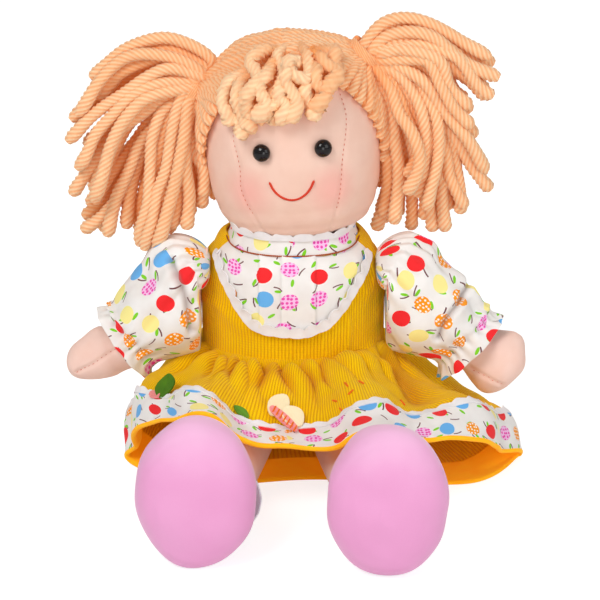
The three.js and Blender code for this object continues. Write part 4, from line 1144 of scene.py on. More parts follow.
# %% Points on the skirt
SKIRT_REACH = 100.0
FOLD_DEPTH = 3.2
BAND_START = 0.8
CLOTH_END = 0.83
BAND_LIFT = 0.95
GATHERS = (
    (-0.18, 0.012, 4.6), (-0.139, 0.012, 8.4), (-0.116, 0.008, 4.2), (-0.096, 0.011, 8.2),
    (-0.074, 0.007, 3.8), (-0.052, 0.011, 8.6), (-0.022, 0.01, 7.8), (0.008, 0.011, 8.4), (0.036, 0.009, 6.2),
    (0.068, 0.009, 3.4), (0.105, 0.01, 4.4), (0.15, 0.01, 3.6), (0.19, 0.01, 2.6), (0.23, 0.01, 2.4),
    (0.27, 0.01, 2.6), (0.32, 0.01, 2.4), (0.36, 0.009, 2.6), (0.4, 0.01, 2.4), (0.44, 0.009, 2.6),
    (0.48, 0.01, 2.4), (0.52, 0.009, 2.6), (0.56, 0.01, 2.4), (0.6, 0.009, 2.6), (0.64, 0.01, 2.4),
    (0.68, 0.009, 2.6), (0.72, 0.01, 2.4), (0.77, 0.01, 2.6),
)
GATHER_LEAN = 0.05
LAP_VALLEY = ((0.1, 0.192), (0.3, 0.205), (0.45, 0.2), (0.6, 0.186), (0.75, 0.172))


def ring_at(ring, u):
    """Points on a closed ring of places."""
    count = len(ring)
    s = (np.asarray(u) % 1) * count
    k = s.astype(int) % count
    t = (s - np.floor(s))[:, None]
    slope_a = (ring[(k + 1) % count] - ring[(k - 1) % count]) / 2
    slope_b = (ring[(k + 2) % count] - ring[k]) / 2
    return hermite(ring[k], ring[(k + 1) % count], slope_a, slope_b, t)


def rows_at(rows, v):
    """Points between evenly spaced rows."""
    slopes = np.gradient(rows, axis=0)
    s = np.clip(np.asarray(v), 0, 1) * (len(rows) - 1)
    k = np.minimum(s.astype(int), len(rows) - 2)
    t = (s - k)[:, None, None]
    return hermite(rows[k], rows[k + 1], slopes[k], slopes[k + 1], t)


def near_place(u, place, spread, power=2.0):
    """A bump round one place on a closed ring; a low power makes it a sharp crease."""
    away = np.abs((u - place) % 1)
    away = np.minimum(away, 1 - away)
    return np.exp(-((away / spread) ** power))


waist_ring = torso_points(np.full(12, torso_share(WAIST)), turn(12), 1.05)
waist_ring[:, 2] = WAIST - 0.6
skirt_tables = [waist_ring] + [np.array(ring) * SKIRT_REACH for ring in SKIRT_RINGS]


def gathers_at(u, v):
    """How far the gathers and the valley beside the lap go in, for rings u and rows v."""
    depths = 0
    for number, (place, spread, depth) in enumerate(GATHERS):
        sway = (0.004 * np.sin(v * 11 + number * 2.4) + GATHER_LEAN * v * (abs(place) < 0.16))[:, None]
        reach = 0.6 + 0.25 * (math.sin(number * 3.7) * 0.5 + 0.5)
        fade = (smooth_step(v, 0.0, 0.06) * (1 - smooth_step(v, 0.32, reach)))[:, None]
        depths = depths + depth * near_place(u[None, :] - sway, place, spread, 1.3) * fade
    beside_lap = (smooth_step(v, 0.02, 0.2) * (1 - smooth_step(v, 0.55, 0.85)))[:, None]
    path = np.interp(v, *zip(*LAP_VALLEY))[:, None]
    return depths + 8.0 * near_place(u[None, :] - path, 0.0, 0.026) * beside_lap


def skirt_grid(u, v, lift):
    """Points of the skirt's cloth, with their normals; u is round the waist and v down to the hem."""
    u, v = np.asarray(u, float), np.asarray(v, float)
    step = 0.004
    wide_u = np.concatenate([u, u - step, u + step])
    plain = rows_at(np.stack([ring_at(ring, wide_u) for ring in skirt_tables]), v)
    plain[..., 2] = np.maximum(plain[..., 2], CLOTH / 2)
    n = len(u)
    round_it = plain[:, 2 * n :] - plain[:, n : 2 * n]
    down = np.gradient(plain[:, :n], axis=0)
    normal = unit(np.cross(down, round_it))
    base = plain[:, :n]
    free = smooth_step(base[..., 2], CLOTH, CLOTH + FOLD_DEPTH * 5)
    grown = np.sin(np.minimum(v * 1.6, 1) * math.pi / 2)[:, None]
    folds = sum(depth * near_place(u, place, spread) for place, spread, depth in SKIRT_FOLDS)
    puff = (np.sin(np.minimum(v / 0.55, 1) ** 0.6 * math.pi) * 3.2)[:, None]
    soft = unevenness(base, 16.0, 21) * 0.5 * smooth_step(v, 0.05, 0.3)[:, None]
    hem = np.sin(u * 2 * math.pi * 13 + 1.2)[None, :] * smooth_step(v, 0.7, 1.0)[:, None] * 0.9
    push = folds[None, :] * FOLD_DEPTH * grown - gathers_at(u, v) + puff + soft + hem
    grid = base + normal * (push * free + lift)[..., None]
    grid[..., 2] = np.maximum(grid[..., 2], np.maximum(CLOTH / 2 - lift, 0.05) + 0 * base[..., 2])
    return grid, normal


# %% Parts of the skirt
SKIRT_PARTS = {
    "front_right": (0.0, 0.375), "under_right": (0.375, 0.4375), "inner_right": (0.4375, 0.5),
    "inner_left": (0.5, 0.5625), "under_left": (0.5625, 0.625), "front_left": (0.625, 1.0),
}
COLUMNS_ROUND = 960
CLOTH_ROUND = 310 * WALE
PRINT_DOWN = 118.0


def part_columns(name):
    low, high = SKIRT_PARTS[name]
    return np.linspace(low, high, round((high - low) * COLUMNS_ROUND) + 1)


def skirt_map(u, grid):
    """The cloth map of a skirt part: wales run down from the waist."""
    return stacked(u[None, :] * CLOTH_ROUND, down_cloth(grid))


def print_map(u, v):
    """The hem's cloth map, measured round the hem so that the print is not stretched."""
    whole = np.linspace(0, 1, 801)
    middle, _ = skirt_grid(whole, np.array([0.9, 0.91]), 0.0)
    round_it = np.interp(u, whole, travelled(step_lengths(middle[0])))
    return stacked(round_it[None, :], (v * PRINT_DOWN)[:, None])


def skirt_sheet(name, u, v, lift, thickness, finish, map_grid=None):
    grid, normal = skirt_grid(u, v, lift)
    chosen = skirt_map(u, grid) if map_grid is None else map_grid
    piece = sheet_piece(name, grid, finish, thickness, False, chosen, grid_up(grid, normal))
    # The gathers and the valley beside the lap get painted shade.
    mark_creases(piece, np.clip((gathers_at(u, v) - 1.6) / 7.0, 0, 1) ** 1.3)
    return piece


def grid_up(grid, reference):
    """Normals of the folded surface, facing the same way as the plain ones."""
    normals = grid_normals(grid, False)
    facing = np.sign(np.einsum("ijk,ijk->ij", normals, reference))
    return normals * facing[..., None]


skirt_pieces = {}
cloth_v, band_v = np.linspace(0, CLOTH_END, 92), np.linspace(BAND_START, 1.0, 30)
for name in SKIRT_PARTS:
    u = part_columns(name)
    cloth = skirt_sheet("skirt_" + name, u, cloth_v, 0.0, CLOTH, corduroy)
    band_map = print_map(u, band_v)
    band = skirt_sheet("band_" + name, u, band_v, BAND_LIFT, DOUBLE_COTTON, printed_cotton, band_map)
    skirt_pieces[name] = [cloth, band]
print("skirt parts:", list(skirt_pieces))

# %% [markdown]
# ## The hem
#
# The printed band has a lace edge on top and an orange facing inside. The facing is rolled round
# the hem, so a thin orange line shows all round.

# %% Lace and facing
ROLL = 0.95
LINING = 0.6


def lace_part(name, u):
    """A scalloped strip over the band's top edge."""
    scallop = 0.68 + 0.32 * np.abs(np.sin(u * math.pi * 62))
    grid, normal = skirt_grid(u, np.linspace(0.7, 0.85, 61), 0.0)
    spread = BAND_START + 0.012 - np.linspace(1, 0, 9)[:, None] * 0.042 * scallop[None, :]
    row = (spread - 0.7) / 0.15 * 60
    low = np.clip(row.astype(int), 0, 59)
    t = (row - low)[..., None]
    column = np.arange(len(u))[None, :]
    place = grid[low, column] * (1 - t) + grid[low + 1, column] * t
    facing = unit(normal[low, column] * (1 - t) + normal[low + 1, column] * t)
    wave = 0.25 * np.sin(u * math.pi * 124)[None, :] * np.linspace(1, 0, 9)[:, None]
    place = place + facing * (1.6 + wave)[..., None]
    return sheet_piece("lace_" + name, place, lace_cloth, LACE, False, skirt_map(u, place), facing)


def facing_part(name, u):
    """The orange facing inside the hem and round its edge."""
    v = np.linspace(BAND_START + 0.02, 1.0, 22)
    inside, _ = skirt_grid(u, v, -0.85)
    edge, edge_normal = skirt_grid(u, np.array([0.985, 1.0]), 0.0)
    down = unit(edge[1] - edge[0])
    across = edge_normal[1]
    rolled = []
    for angle in np.linspace(0.0, math.pi + 0.5, 9)[1:]:
        out = 0.3 - (ROLL - 0.1) * math.cos(angle)
        point = edge[1] + down * (ROLL * math.sin(angle)) + across * out
        point[:, 2] = np.maximum(point[:, 2], 0.35)
        rolled.append(point)
    grid = np.concatenate([inside, np.stack(rolled)])
    return sheet_piece("facing_" + name, grid, lining_cloth, LINING, False, skirt_map(u, grid))


for name, made in skirt_pieces.items():
    u = part_columns(name)
    made += [lace_part(name, u), facing_part(name, u)]
print("layers of a part:", [piece.name for piece in skirt_pieces["front_right"]])

# %% [markdown]
# ## Arms, sleeves and legs
#
# A limb is a row of ovals along a bent line. Stuffing makes it swell and a seam pulls it in, so the
# hands have a groove and the shoes have small puckers. The sleeve is gathered at both ends: its
# radius ripples there and is smooth where the sleeve puffs out.

# %% Limb grids
ARM_ROOT = np.array([41.1, -11.0, 94.0])
ARM_LENGTH = 86.0
HAND_HALF = 14.4
SLEEVE_HALF = 22.5
SIDE_LIMIT = 43.9
ARMHOLE = 39.4


def limb_frame(line, steps, deep_axis):
    """Centres along a bent line, with directions across and deep at each."""
    centres = smooth_line(line, steps)
    along = unit(np.gradient(centres, axis=0))
    across = unit(np.cross(along, deep_axis))
    deep = np.cross(across, along)
    return centres, across, deep


def limb_grid(line, sizes, steps, columns, deep_axis):
    """Rings round a bent line; sizes gives half width and half depth by share."""
    centres, across, deep = limb_frame(line, steps, deep_axis)
    halves = smooth_table(sizes, np.linspace(0, 1, steps))
    angles = turn(columns)
    return (
        centres[:, None, :]
        + across[:, None, :] * (halves[:, 0][:, None] * np.cos(angles)[None, :])[..., None]
        + deep[:, None, :] * (halves[:, 1][:, None] * np.sin(angles)[None, :])[..., None]
    )


def arm_line(table, side, sign):
    rows = np.array(table[side])
    return rows * (sign, 1.0, 1.0) * ARM_LENGTH + ARM_ROOT * (sign, 1.0, 1.0)


def scaled(sizes, half):
    return [[row[0], *(value * half for value in row[1:])] for row in sizes]


def kept_beside(across, limit, sign, round_off):
    """Keeps places on the outer side of a plane, rounding off where they meet it."""
    gap = sign * across - limit
    return sign * (limit + (gap + np.sqrt(gap**2 + round_off**2)) / 2)


def rounded_hand(grid):
    """Rounds a hand like a mitten: the rings near its tip shrink along a half circle."""
    rows = len(grid)
    first = round(rows * (0.66 if grid[-1, 0, 0] < 0 else 0.78))
    centre = grid.mean(axis=1, keepdims=True)
    full = (grid - centre)[first]
    along = unit(centre[-1, 0] - centre[first, 0])
    reach = np.linalg.norm(centre[-1, 0] - centre[first, 0])
    rounded = grid.copy()
    for row in range(first, rows):
        t = (row - first) / (rows - 1 - first)
        bent = math.sin(t * math.pi / 2)
        middle = centre[first, 0] + along * reach * bent
        rounded[row] = middle + full * max(math.cos(t * math.pi / 2), 0.03) ** 0.85
    return rounded


# %% Arms with seamed hands
HAND_SEAMS = {
    "left": ((-103.0, 43.5), (-95.0, 48.5), (-86.3, 54.3), (-75.0, 60.5)),
    "right": ((99.0, 38.5), (93.0, 42.0), (84.0, 46.0)),
}


def pressed_line(points, seam, depth, width):
    """How far a thread pulls the front of a hand in along a seam of across and up places."""
    line = smooth_line(seam, 60)
    gap = np.min([np.hypot(points[..., 0] - x, points[..., 2] - z) for x, z in line], axis=0)
    front = points[..., 1] < points.mean(axis=1, keepdims=True)[..., 1]
    return depth * np.exp(-((gap / width) ** 2)) * front


def on_front(points, seam):
    """The seam's places on the front of a hand."""
    spots = []
    for x, z in smooth_line(seam, 24):
        gap = np.hypot(points[..., 0] - x, points[..., 2] - z) + np.where(points[..., 1] < -11, 0, 99)
        spots.append(points.reshape(-1, 3)[gap.argmin()])
    return smooth_line(spots[::4], 40)


HAND_SHIFT = {"left": (0.5, 0.0, 2.0), "right": (3.0, 0.0, 3.0)}
HAND_SWELL = {"left": 1.0, "right": 1.12}
arm_pieces, sleeve_pieces, hand_stitches = {}, {}, {}
for side, sign in SIDES:
    grid = limb_grid(arm_line(ARM_LINES, side, sign), scaled(ARM_SIZES, HAND_HALF), 110, 90, (0, 1, 0))
    grid = rounded_hand(grid)
    hand = smooth_step(np.linspace(0, 1, len(grid)), 0.5, 0.75)[:, None, None]
    middle = grid.mean(axis=1, keepdims=True)
    grid = middle + (grid - middle) * (1 + (HAND_SWELL[side] - 1) * hand) + hand * HAND_SHIFT[side]
    grid[0, :, 0] = sign * ARM_ROOT[0]
    inner = np.arange(len(grid))[:, None] > 14
    beside = sign * np.maximum(sign * grid[..., 0], SIDE_LIMIT + 2.1)
    grid[..., 0] = np.where(inner, beside, grid[..., 0])
    normal = grid_normals(grid, True)
    outward = np.sign(np.einsum("ijk,ijk->ij", normal, grid - grid.mean(axis=1, keepdims=True)))
    pull = pressed_line(grid, HAND_SEAMS[side], 0.9, 1.1)
    soft = unevenness(grid, 13.0, 31) * 0.35
    grid = grid + normal * (outward * (soft - pull))[..., None]
    arm_pieces[side] = stuffed_piece("arm_cloth_" + side, grid, limb_cloth)
    hand_stitches[side] = stitched(
        "hand_stitches_" + side, [on_front(grid, HAND_SEAMS[side])], seam_thread, 2.4, 1.2, 0.45
    )

# %% Gathered sleeves


def sleeve_head(ring, sign):
    """Rows that close the sleeve in to the armhole, round the shoulder's own axis."""
    pivot = ARM_ROOT * (sign, 1.0, 1.0)
    flat = (ring - pivot) * (0.0, 1.0, 1.0)
    rows = []
    for t in np.linspace(0.0, 1.0, 22)[:-1]:
        radius = 3.0 + (np.linalg.norm(flat, axis=1) - 3.0) * math.sin(t * math.pi / 2) ** 0.8
        row = pivot + unit(flat) * radius[:, None]
        row[:, 0] = sign * ARMHOLE + (ring[:, 0] - sign * ARMHOLE) * (1 - math.cos(t * math.pi / 2)) ** 0.8
        rows.append(row)
    return np.stack(rows)


SLEEVE_CREASES = {
    "left": ((-56.5, 100.0), (-53.5, 93.2), (-50.3, 84.4), (-48.6, 76.0), (-47.9, 68.0)),
    "right": ((82.5, 85.0), (75.5, 78.5), (70.4, 71.5), (68.2, 64.5)),
}
for side, sign in SIDES:
    line = arm_line(SLEEVE_LINES, side, sign)
    rows, columns = 130, 264
    top_way = np.array((sign * 0.8, 0.0, 0.6))
    grid = limb_grid(line, scaled(SLEEVE_SIZES, SLEEVE_HALF + 0.45), rows, columns, (0, 1, 0))
    centre = grid.mean(axis=1, keepdims=True)
    t = np.linspace(0, 1, rows)[:, None]
    angles = turn(columns)[None, :]
    at_head = 1 - smooth_step(t, 0.02, 0.4)
    at_wrist = np.exp(-(((t - 0.8) / 0.13) ** 2))
    frill = smooth_step(t, 0.84, 1.0)
    uneven = 0.7 * np.sin(angles * 3 + sign) + 0.5 * np.sin(angles * 5 + 2)
    ripple = at_head * 0.9 * np.sin(angles * 17 + uneven)
    ripple = ripple + at_wrist * 0.75 * np.sin(angles * 21 + uneven * 1.6)
    outer_way = np.maximum(unit(grid - centre) @ top_way, 0)
    ripple = ripple + frill * (1.3 + 1.0 * np.sin(angles * 9 + uneven)) * (1 - 0.4 * outer_way)
    ripple = ripple + 3.6 * outer_way * np.exp(-(((t - 0.8) / 0.16) ** 2))
    broad = smooth_step(t, 0.08, 0.35) * (1 - smooth_step(t, 0.6, 0.8))
    swells = unevenness(grid, 15.0, 41 + sign) * 0.9 + 0.8 * np.sin(angles * 6 + 4 * t + uneven)
    ripple = ripple + broad * swells
    grid = grid + unit(grid - centre) * ripple[..., None]
    upwards = (grid - centre) @ top_way
    slimmer = 0.17 * smooth_step(t, 0.12, 0.3) * (1 - smooth_step(t, 0.6, 0.75))
    grid = grid - (np.maximum(upwards, 0) * slimmer)[..., None] * top_way
    inwards = np.maximum(sign * (centre[..., 0] - grid[..., 0]), 0)
    fuller = 0.4 * smooth_step(t, 0.0, 0.15) * (1 - smooth_step(t, 0.55, 0.8))
    grid[..., 0] = grid[..., 0] - sign * inwards * fuller
    grid[..., 0] = kept_beside(grid[..., 0], SIDE_LIMIT + 0.35, sign, 2.0)
    crease = pressed_line(grid, SLEEVE_CREASES[side], 1.0, 1.9)
    press = 3.8 * crease - pressed_line(grid, SLEEVE_CREASES[side], 1.7, 6.0)
    grid = grid + unit(centre - grid) * press[..., None]
    # The sleeve's crease and the tucks at the wrist get painted shade.
    tucked = np.maximum(-np.sin(angles * 21 + uneven * 1.6), 0) * np.exp(-(((t - 0.8) / 0.09) ** 2))
    folded = np.concatenate([np.zeros((21, columns)), np.clip(crease**1.5 + tucked * 0.6, 0, 1)])
    grid = np.concatenate([sleeve_head(grid[0], sign), grid])
    sleeve_pieces[side] = sheet_piece("sleeve_cloth_" + side, grid, printed_cotton, COTTON, True)
    mark_creases(sleeve_pieces[side], folded)

# %% Legs, socks and shoes
LEG_LENGTH = 112.0
LEG_RADIUS = 17.5
HIP = np.array([21.5, -13.0, 19.0])
SHOE_HALF_WIDTH = 26.0
SHOE_HALF_HEIGHT = 33.5
SHOE_LENGTH = 42.0
SHOE_BACK = 113.0
SHOE_X = 40.5
SHOE_FORWARD = {"left": 0.0, "right": 0.2}
SHOE_SPREAD = {"left": 1.02, "right": 0.985}
PUCKER = (-13.5, -123.0, 33.0)

leg_pieces, shoe_pieces, sock_pieces = {}, {}, {}
for side, sign in SIDES:
    stretch = 1 + SHOE_FORWARD[side] * SHOE_LENGTH / LEG_LENGTH
    line = np.array(LEG_LINE) * (sign, stretch, 1.0) * LEG_LENGTH + HIP * (sign, 1.0, 1.0)
    sizes = scaled(LEG_SIZES, LEG_RADIUS)
    leg_grid = limb_grid(line, sizes, 90, 90, (0, 0, 1))
    cut = round(90 * 0.8)
    leg_pieces[side] = stuffed_piece("leg_cloth_" + side, leg_grid[6:cut], limb_cloth)
    sock_rows = leg_grid[round(90 * 0.6) : round(90 * 0.8)]
    sock_centre = sock_rows.mean(axis=1, keepdims=True)
    cuff_way = unit(sock_rows - sock_centre) @ np.array((-sign * 0.9, 0.0, 0.45))
    cuff_rise = np.linspace(0, 1, len(sock_rows))[:, None] ** 2 * np.maximum(cuff_way, 0) ** 1.5
    cuff = ((11.5 if side == "left" else 3.0) * cuff_rise)[..., None]
    knit = 0.9 + 0.12 * np.sin(turn(90) * 24)[None, :, None] + cuff
    sock_grid = sock_rows + unit(sock_rows - sock_centre) * knit
    sock_pieces[side] = sheet_piece("sock_cloth_" + side, sock_grid, sock_cloth, CLOTH, True)

    steps = np.linspace(0.0, 1.0, 120)
    bent = (1 - np.cos(steps * math.pi)) / 2
    swell = smooth_table(SHOE_SWELL, bent)[:, 0]
    ends = np.sqrt(np.clip(np.minimum(bent, 1 - bent) / 0.05, 0.0004, 1))
    swell = np.minimum(swell, ends)
    angles = turn(150)
    forward = SHOE_BACK + (SHOE_FORWARD[side] + bent) * SHOE_LENGTH
    shoe_grid = stacked(
        sign * SHOE_X * SHOE_SPREAD[side] + (swell * SHOE_HALF_WIDTH)[:, None] * np.sin(angles)[None, :],
        -forward[:, None],
        SHOE_HALF_HEIGHT - 0.5 + (swell * SHOE_HALF_HEIGHT)[:, None] * np.cos(angles)[None, :],
    )
    soft = unevenness(shoe_grid, 22.0, 51 + sign) * 0.45
    shoe_centre = np.array([sign * SHOE_X, -SHOE_BACK - SHOE_LENGTH * 0.55, SHOE_HALF_HEIGHT])
    out = unit(shoe_grid - shoe_centre)
    gap = np.linalg.norm(shoe_grid - np.array(PUCKER), axis=-1)
    pucker = np.exp(-((gap / 5.5) ** 2)) * (0.9 + 0.5 * np.sin(shoe_grid[..., 2] * 2.4))
    shoe_grid = shoe_grid + out * (soft - pucker)[..., None]
    shoe_grid[..., 2] = np.maximum(shoe_grid[..., 2], 0.0)
    shoe_pieces[side] = stuffed_piece("shoe_cloth_" + side, shoe_grid, pink_plush)
print("limbs:", [piece.name for piece in arm_pieces.values()], [piece.name for piece in shoe_pieces.values()])

# %% [markdown]
# ## The head
#
# The head is one stuffed form, tilted a little to the doll's left. Two seams run down the face and
# each is a shallow groove with small stitches in it. The eyes are pulled in by their threads, so
# they sit in soft dents.

# %% Points on the head
HEAD_HALF_WIDTH = 41.0
HEAD_HALF_DEPTH = 37.0
HEAD_HEIGHT = 86.0
HEAD_AT = np.array([2.7, 0.0, 113.25])
TILT = math.radians(4.5)
TILT_ROWS = np.array(
    [[math.cos(TILT), 0.0, -math.sin(TILT)], [0.0, 1.0, 0.0], [math.sin(TILT), 0.0, math.cos(TILT)]]
)


def tilted(local):
    """Points of the head's own frame, in the doll's frame."""
    return np.asarray(local) @ TILT_ROWS.T + HEAD_AT


def untilted(points):
    return (np.asarray(points) - HEAD_AT) @ TILT_ROWS


def head_points(shares, angles, lift=0.0):
    """Points on the head in its own frame; angle 0 is the face."""
    shares, angles = np.broadcast_arrays(np.asarray(shares, float), np.asarray(angles, float))
    width = smooth_table(HEAD_LEVELS, shares)[..., 0]
    wider, rise = widening(HEAD_LEVELS, shares, 0.015, HEAD_HEIGHT)
    fall = -wider * HEAD_HALF_WIDTH
    length = np.hypot(rise, fall)
    out = lift * rise / length
    return stacked(
        (width * HEAD_HALF_WIDTH + out) * np.sin(angles),
        -(width * HEAD_HALF_DEPTH + out) * np.cos(angles),
        shares * HEAD_HEIGHT + lift * fall / length,
    )


SHARE_STEPS = np.linspace(0.0, 1.0, 400)
SHARE_SLOPES = (SHARE_STEPS - 0.5) / np.maximum(smooth_table(HEAD_LEVELS, SHARE_STEPS)[:, 0], 0.02)


def on_head(local, lift):
    """The nearest place on the head in the same direction from its middle, lifted."""
    x = local[..., 0] / HEAD_HALF_WIDTH
    y = -local[..., 1] / HEAD_HALF_DEPTH
    slope = (local[..., 2] / HEAD_HEIGHT - 0.5) / np.maximum(np.hypot(x, y), 1e-6)
    return head_points(np.interp(slope, SHARE_SLOPES, SHARE_STEPS), np.arctan2(x, y), lift)


# %% Face seams, eye dents and the head itself
FACE_SEAMS = {
    "left": (
        (0.74, -41.5), (0.65, -41.0), (0.56, -40.1), (0.413, -36.5), (0.29, -37.8), (0.185, -34.4),
        (0.04, -28.0),
    ),
    "right": (
        (0.75, 42.0), (0.65, 41.6), (0.549, 38.4), (0.422, 34.2), (0.264, 31.8), (0.114, 29.1), (0.04, 27.0),
    ),
}


def seam_line(side, count, lift):
    """A face seam in the head's own frame."""
    rows = smooth_line(FACE_SEAMS[side], count)
    return head_points(rows[:, 0], np.radians(rows[:, 1]), lift)


head_shares = (1 - np.cos(np.linspace(0.1, math.pi, 150))) / 2
head_angles = turn(260)
head_base = head_points(head_shares[:, None], head_angles[None, :], 0.0)
head_out = unit(head_points(head_shares[:, None], head_angles[None, :], 1.0) - head_base)
press = np.zeros(head_base.shape[:2])
for spot in EYE_SPOTS:
    eye_gap = np.linalg.norm(head_base - on_head(untilted(spot), 0.0), axis=-1)
    press += 1.5 * np.exp(-((eye_gap / 6.0) ** 2))
for side in FACE_SEAMS:
    for point in seam_line(side, 90, 0.0):
        seam_gap = ((head_base - point) ** 2).sum(axis=-1)
        press = np.maximum(press, 0.5 * np.exp(-seam_gap / 0.95))
head_soft = unevenness(head_base, 26.0, 61) * 0.3 + 3.6 * np.exp(-((head_shares[:, None] / 0.09) ** 2))
head_grid = tilted(head_base + head_out * (head_soft - press)[..., None])
head_cloth = stuffed_piece("head_cloth", head_grid, face_cloth)

# %% Eyes
EYE_RADIUS = 4.1
eye_pieces = {}
for side, spot in zip(("left", "right"), EYE_SPOTS):
    skin = on_head(untilted(spot), 0.0)
    axis = unit(on_head(untilted(spot), 1.0) - skin)
    first = unit(np.cross(axis, (0.0, 0.0, 1.0)))
    second = np.cross(axis, first)
    ball = np.linspace(-0.45, 0.5, 34) * math.pi
    grid = np.stack(
        [
            skin
            + axis * (0.5 + EYE_RADIUS * 0.8 * math.sin(latitude))
            + (first * math.cos(a) + second * math.sin(a)) * EYE_RADIUS * max(math.cos(latitude), 0.01)
            for latitude in ball
            for a in turn(48)
        ]
    ).reshape(34, 48, 3)
    eye_pieces[side] = stuffed_piece("eye_bead_" + side, tilted(grid), bead_black)

# %% Seam stitches and the smile
SMILE = (
    (-10.2, 140.3), (-8.9, 137.8), (-7.0, 135.6), (-4.2, 133.8), (-0.8, 133.0), (2.6, 133.6), (5.7, 135.6),
    (7.8, 138.2), (9.2, 141.2),
)


def on_face(across, up, lift):
    """A place on the face seen from the front, in the doll's frame."""
    local = untilted((across, -HEAD_HALF_DEPTH, up))
    share = local[2] / HEAD_HEIGHT
    width = smooth_table(HEAD_LEVELS, share)[0]
    angle = math.asin(local[0] / (width * HEAD_HALF_WIDTH))
    return tilted(head_points(share, angle, lift))


seam_lines = [tilted(seam_line(side, 160, -0.25)) for side in FACE_SEAMS]
seam_stitches = stitched("face_stitches", seam_lines, seam_thread, 2.3, 1.15, 0.42)
smile_line = smooth_line([on_face(x, z, 0.35) for x, z in SMILE], 60)
smile = stitched("smile", [smile_line], red_thread, 0.95, 2.3, 1.2)
print("head points:", head_grid.shape, "smile length:", len(smile_line))

# %% [markdown]
# ## The hair
#
# The hair is thick yarn. On the head, strands run from the parting and from the hairline to the two
# ties, over a darker base. Each bunch spreads from its tie. The front strands follow lines that
# were measured, and the strands behind them run between two neighbouring lines. The fringe is a
# handful of brushed out tufts and one curl.

# %% Lines of the front strands
# A row holds how far back the strand's tip lies, then its places across and up from the tie to the tip.
BUNCH_LINES = {
    "left": (
        (-2.0, (-39.5, 178.8), (-37.5, 190.7), (-56.2, 200.6), (-74.8, 196.0), (-94.1, 182.3)),
        (-6.0, (-39.5, 178.8), (-41.6, 185.4), (-61.2, 194.9), (-80.1, 190.3), (-100.8, 165.7)),
        (-8.0, (-39.5, 178.8), (-43.5, 182.8), (-61.3, 186.4), (-83.2, 172.8), (-105.2, 153.3)),
        (-10.0, (-39.5, 178.8), (-50.0, 179.7), (-67.7, 179.7), (-86.6, 161.5), (-101.2, 139.9)),
        (-12.0, (-39.5, 178.8), (-50.0, 177.6), (-70.6, 171.7), (-83.0, 153.4), (-94.0, 125.9)),
        (-4.0, (-39.5, 178.8), (-59.5, 171.5), (-80.7, 157.5), (-94.3, 140.6), (-104.2, 126.0)),
        (4.0, (-39.5, 178.8), (-57.0, 167.3), (-74.7, 141.0), (-86.2, 118.7), (-100.4, 106.3)),
        (-2.0, (-39.5, 178.8), (-56.9, 167.9), (-72.3, 146.4), (-82.1, 129.3), (-88.0, 105.1)),
        (-8.0, (-39.5, 178.8), (-58.6, 168.6), (-63.7, 156.5), (-67.4, 134.9), (-72.4, 102.0)),
        (-11.0, (-39.5, 178.8), (-51.9, 172.2), (-56.7, 152.9), (-61.2, 131.9), (-69.4, 101.0)),
        (-13.0, (-39.5, 178.8), (-48.2, 172.5), (-51.0, 153.3), (-55.5, 132.5), (-64.6, 101.7)),
        (-10.0, (-39.5, 178.8), (-46.9, 168.8), (-50.4, 144.5), (-49.7, 127.3), (-50.9, 110.6)),
        (-6.0, (-39.5, 178.8), (-46.3, 151.3), (-42.2, 138.8), (-42.4, 126.1)),
    ),
    "right": (
        (-2.0, (36.6, 189.2), (31.4, 194.0), (39.5, 206.4), (53.3, 210.0), (69.9, 204.2), (91.5, 191.6)),
        (-6.0, (36.6, 189.2), (36.4, 196.2), (46.9, 202.2), (61.5, 203.4), (75.1, 192.7), (94.7, 182.3)),
        (-8.0, (36.6, 189.2), (37.4, 194.5), (58.4, 198.3), (74.9, 193.1), (84.9, 180.5), (92.5, 173.8)),
        (-10.0, (36.6, 189.2), (40.6, 193.2), (53.3, 196.3), (67.9, 191.7), (73.2, 180.0), (82.7, 171.0)),
        (-12.0, (36.6, 189.2), (43.8, 190.1), (61.5, 191.5), (69.9, 180.4), (75.2, 170.5), (83.3, 161.1)),
        (-10.0, (36.6, 189.2), (44.8, 189.0), (58.6, 183.6), (68.4, 170.1), (78.9, 157.2), (90.1, 139.4)),
        (-4.0, (36.6, 189.2), (44.0, 185.7), (61.4, 171.7), (75.7, 152.8), (85.5, 138.2), (92.8, 129.0)),
        (-15.0, (38.0, 189.7), (44.9, 179.0), (49.0, 167.0), (55.4, 156.1), (58.9, 145.6), (54.1, 130.2)),
        (-10.0, (36.6, 189.2), (45.3, 187.1), (53.6, 179.4), (60.6, 166.7), (62.3, 151.5), (59.4, 135.5)),
        (-12.0, (36.6, 189.2), (55.5, 185.7), (62.0, 172.8), (66.2, 161.7), (67.4, 149.1), (65.8, 136.1),
         (61.9, 121.0)),
        (-4.0, (36.6, 189.2), (49.6, 183.3), (71.0, 159.8), (76.5, 142.6), (78.3, 125.5), (78.1, 116.7)),
        (-7.0, (36.6, 189.2), (48.6, 181.3), (70.0, 151.9), (73.6, 134.7), (81.1, 120.0)),
        (-4.0, (36.6, 189.2), (47.4, 176.3), (68.1, 138.2), (70.8, 125.5), (72.1, 108.3)),
        (-2.0, (36.6, 189.2), (47.5, 171.3), (57.3, 147.4), (63.4, 120.5), (66.1, 107.1)),
        (3.0, (36.6, 189.2), (40.5, 178.0), (48.0, 149.8), (46.4, 131.9), (42.4, 119.0), (39.2, 107.1)),
        (-6.0, (36.6, 189.2), (41.2, 181.2), (48.0, 158.0), (49.8, 134.4), (46.8, 113.3)),
    ),
}


def bunch_line(depth, *places):
    """Points of a front strand: it leaves the tie a millimetre in front and soon reaches its depth."""
    shares = [min(1.8 * k / (len(places) - 1), 1) for k in range(len(places))]
    return [(x, round(-1 + (depth + 1) * share, 1), z) for (x, z), share in zip(places, shares)]


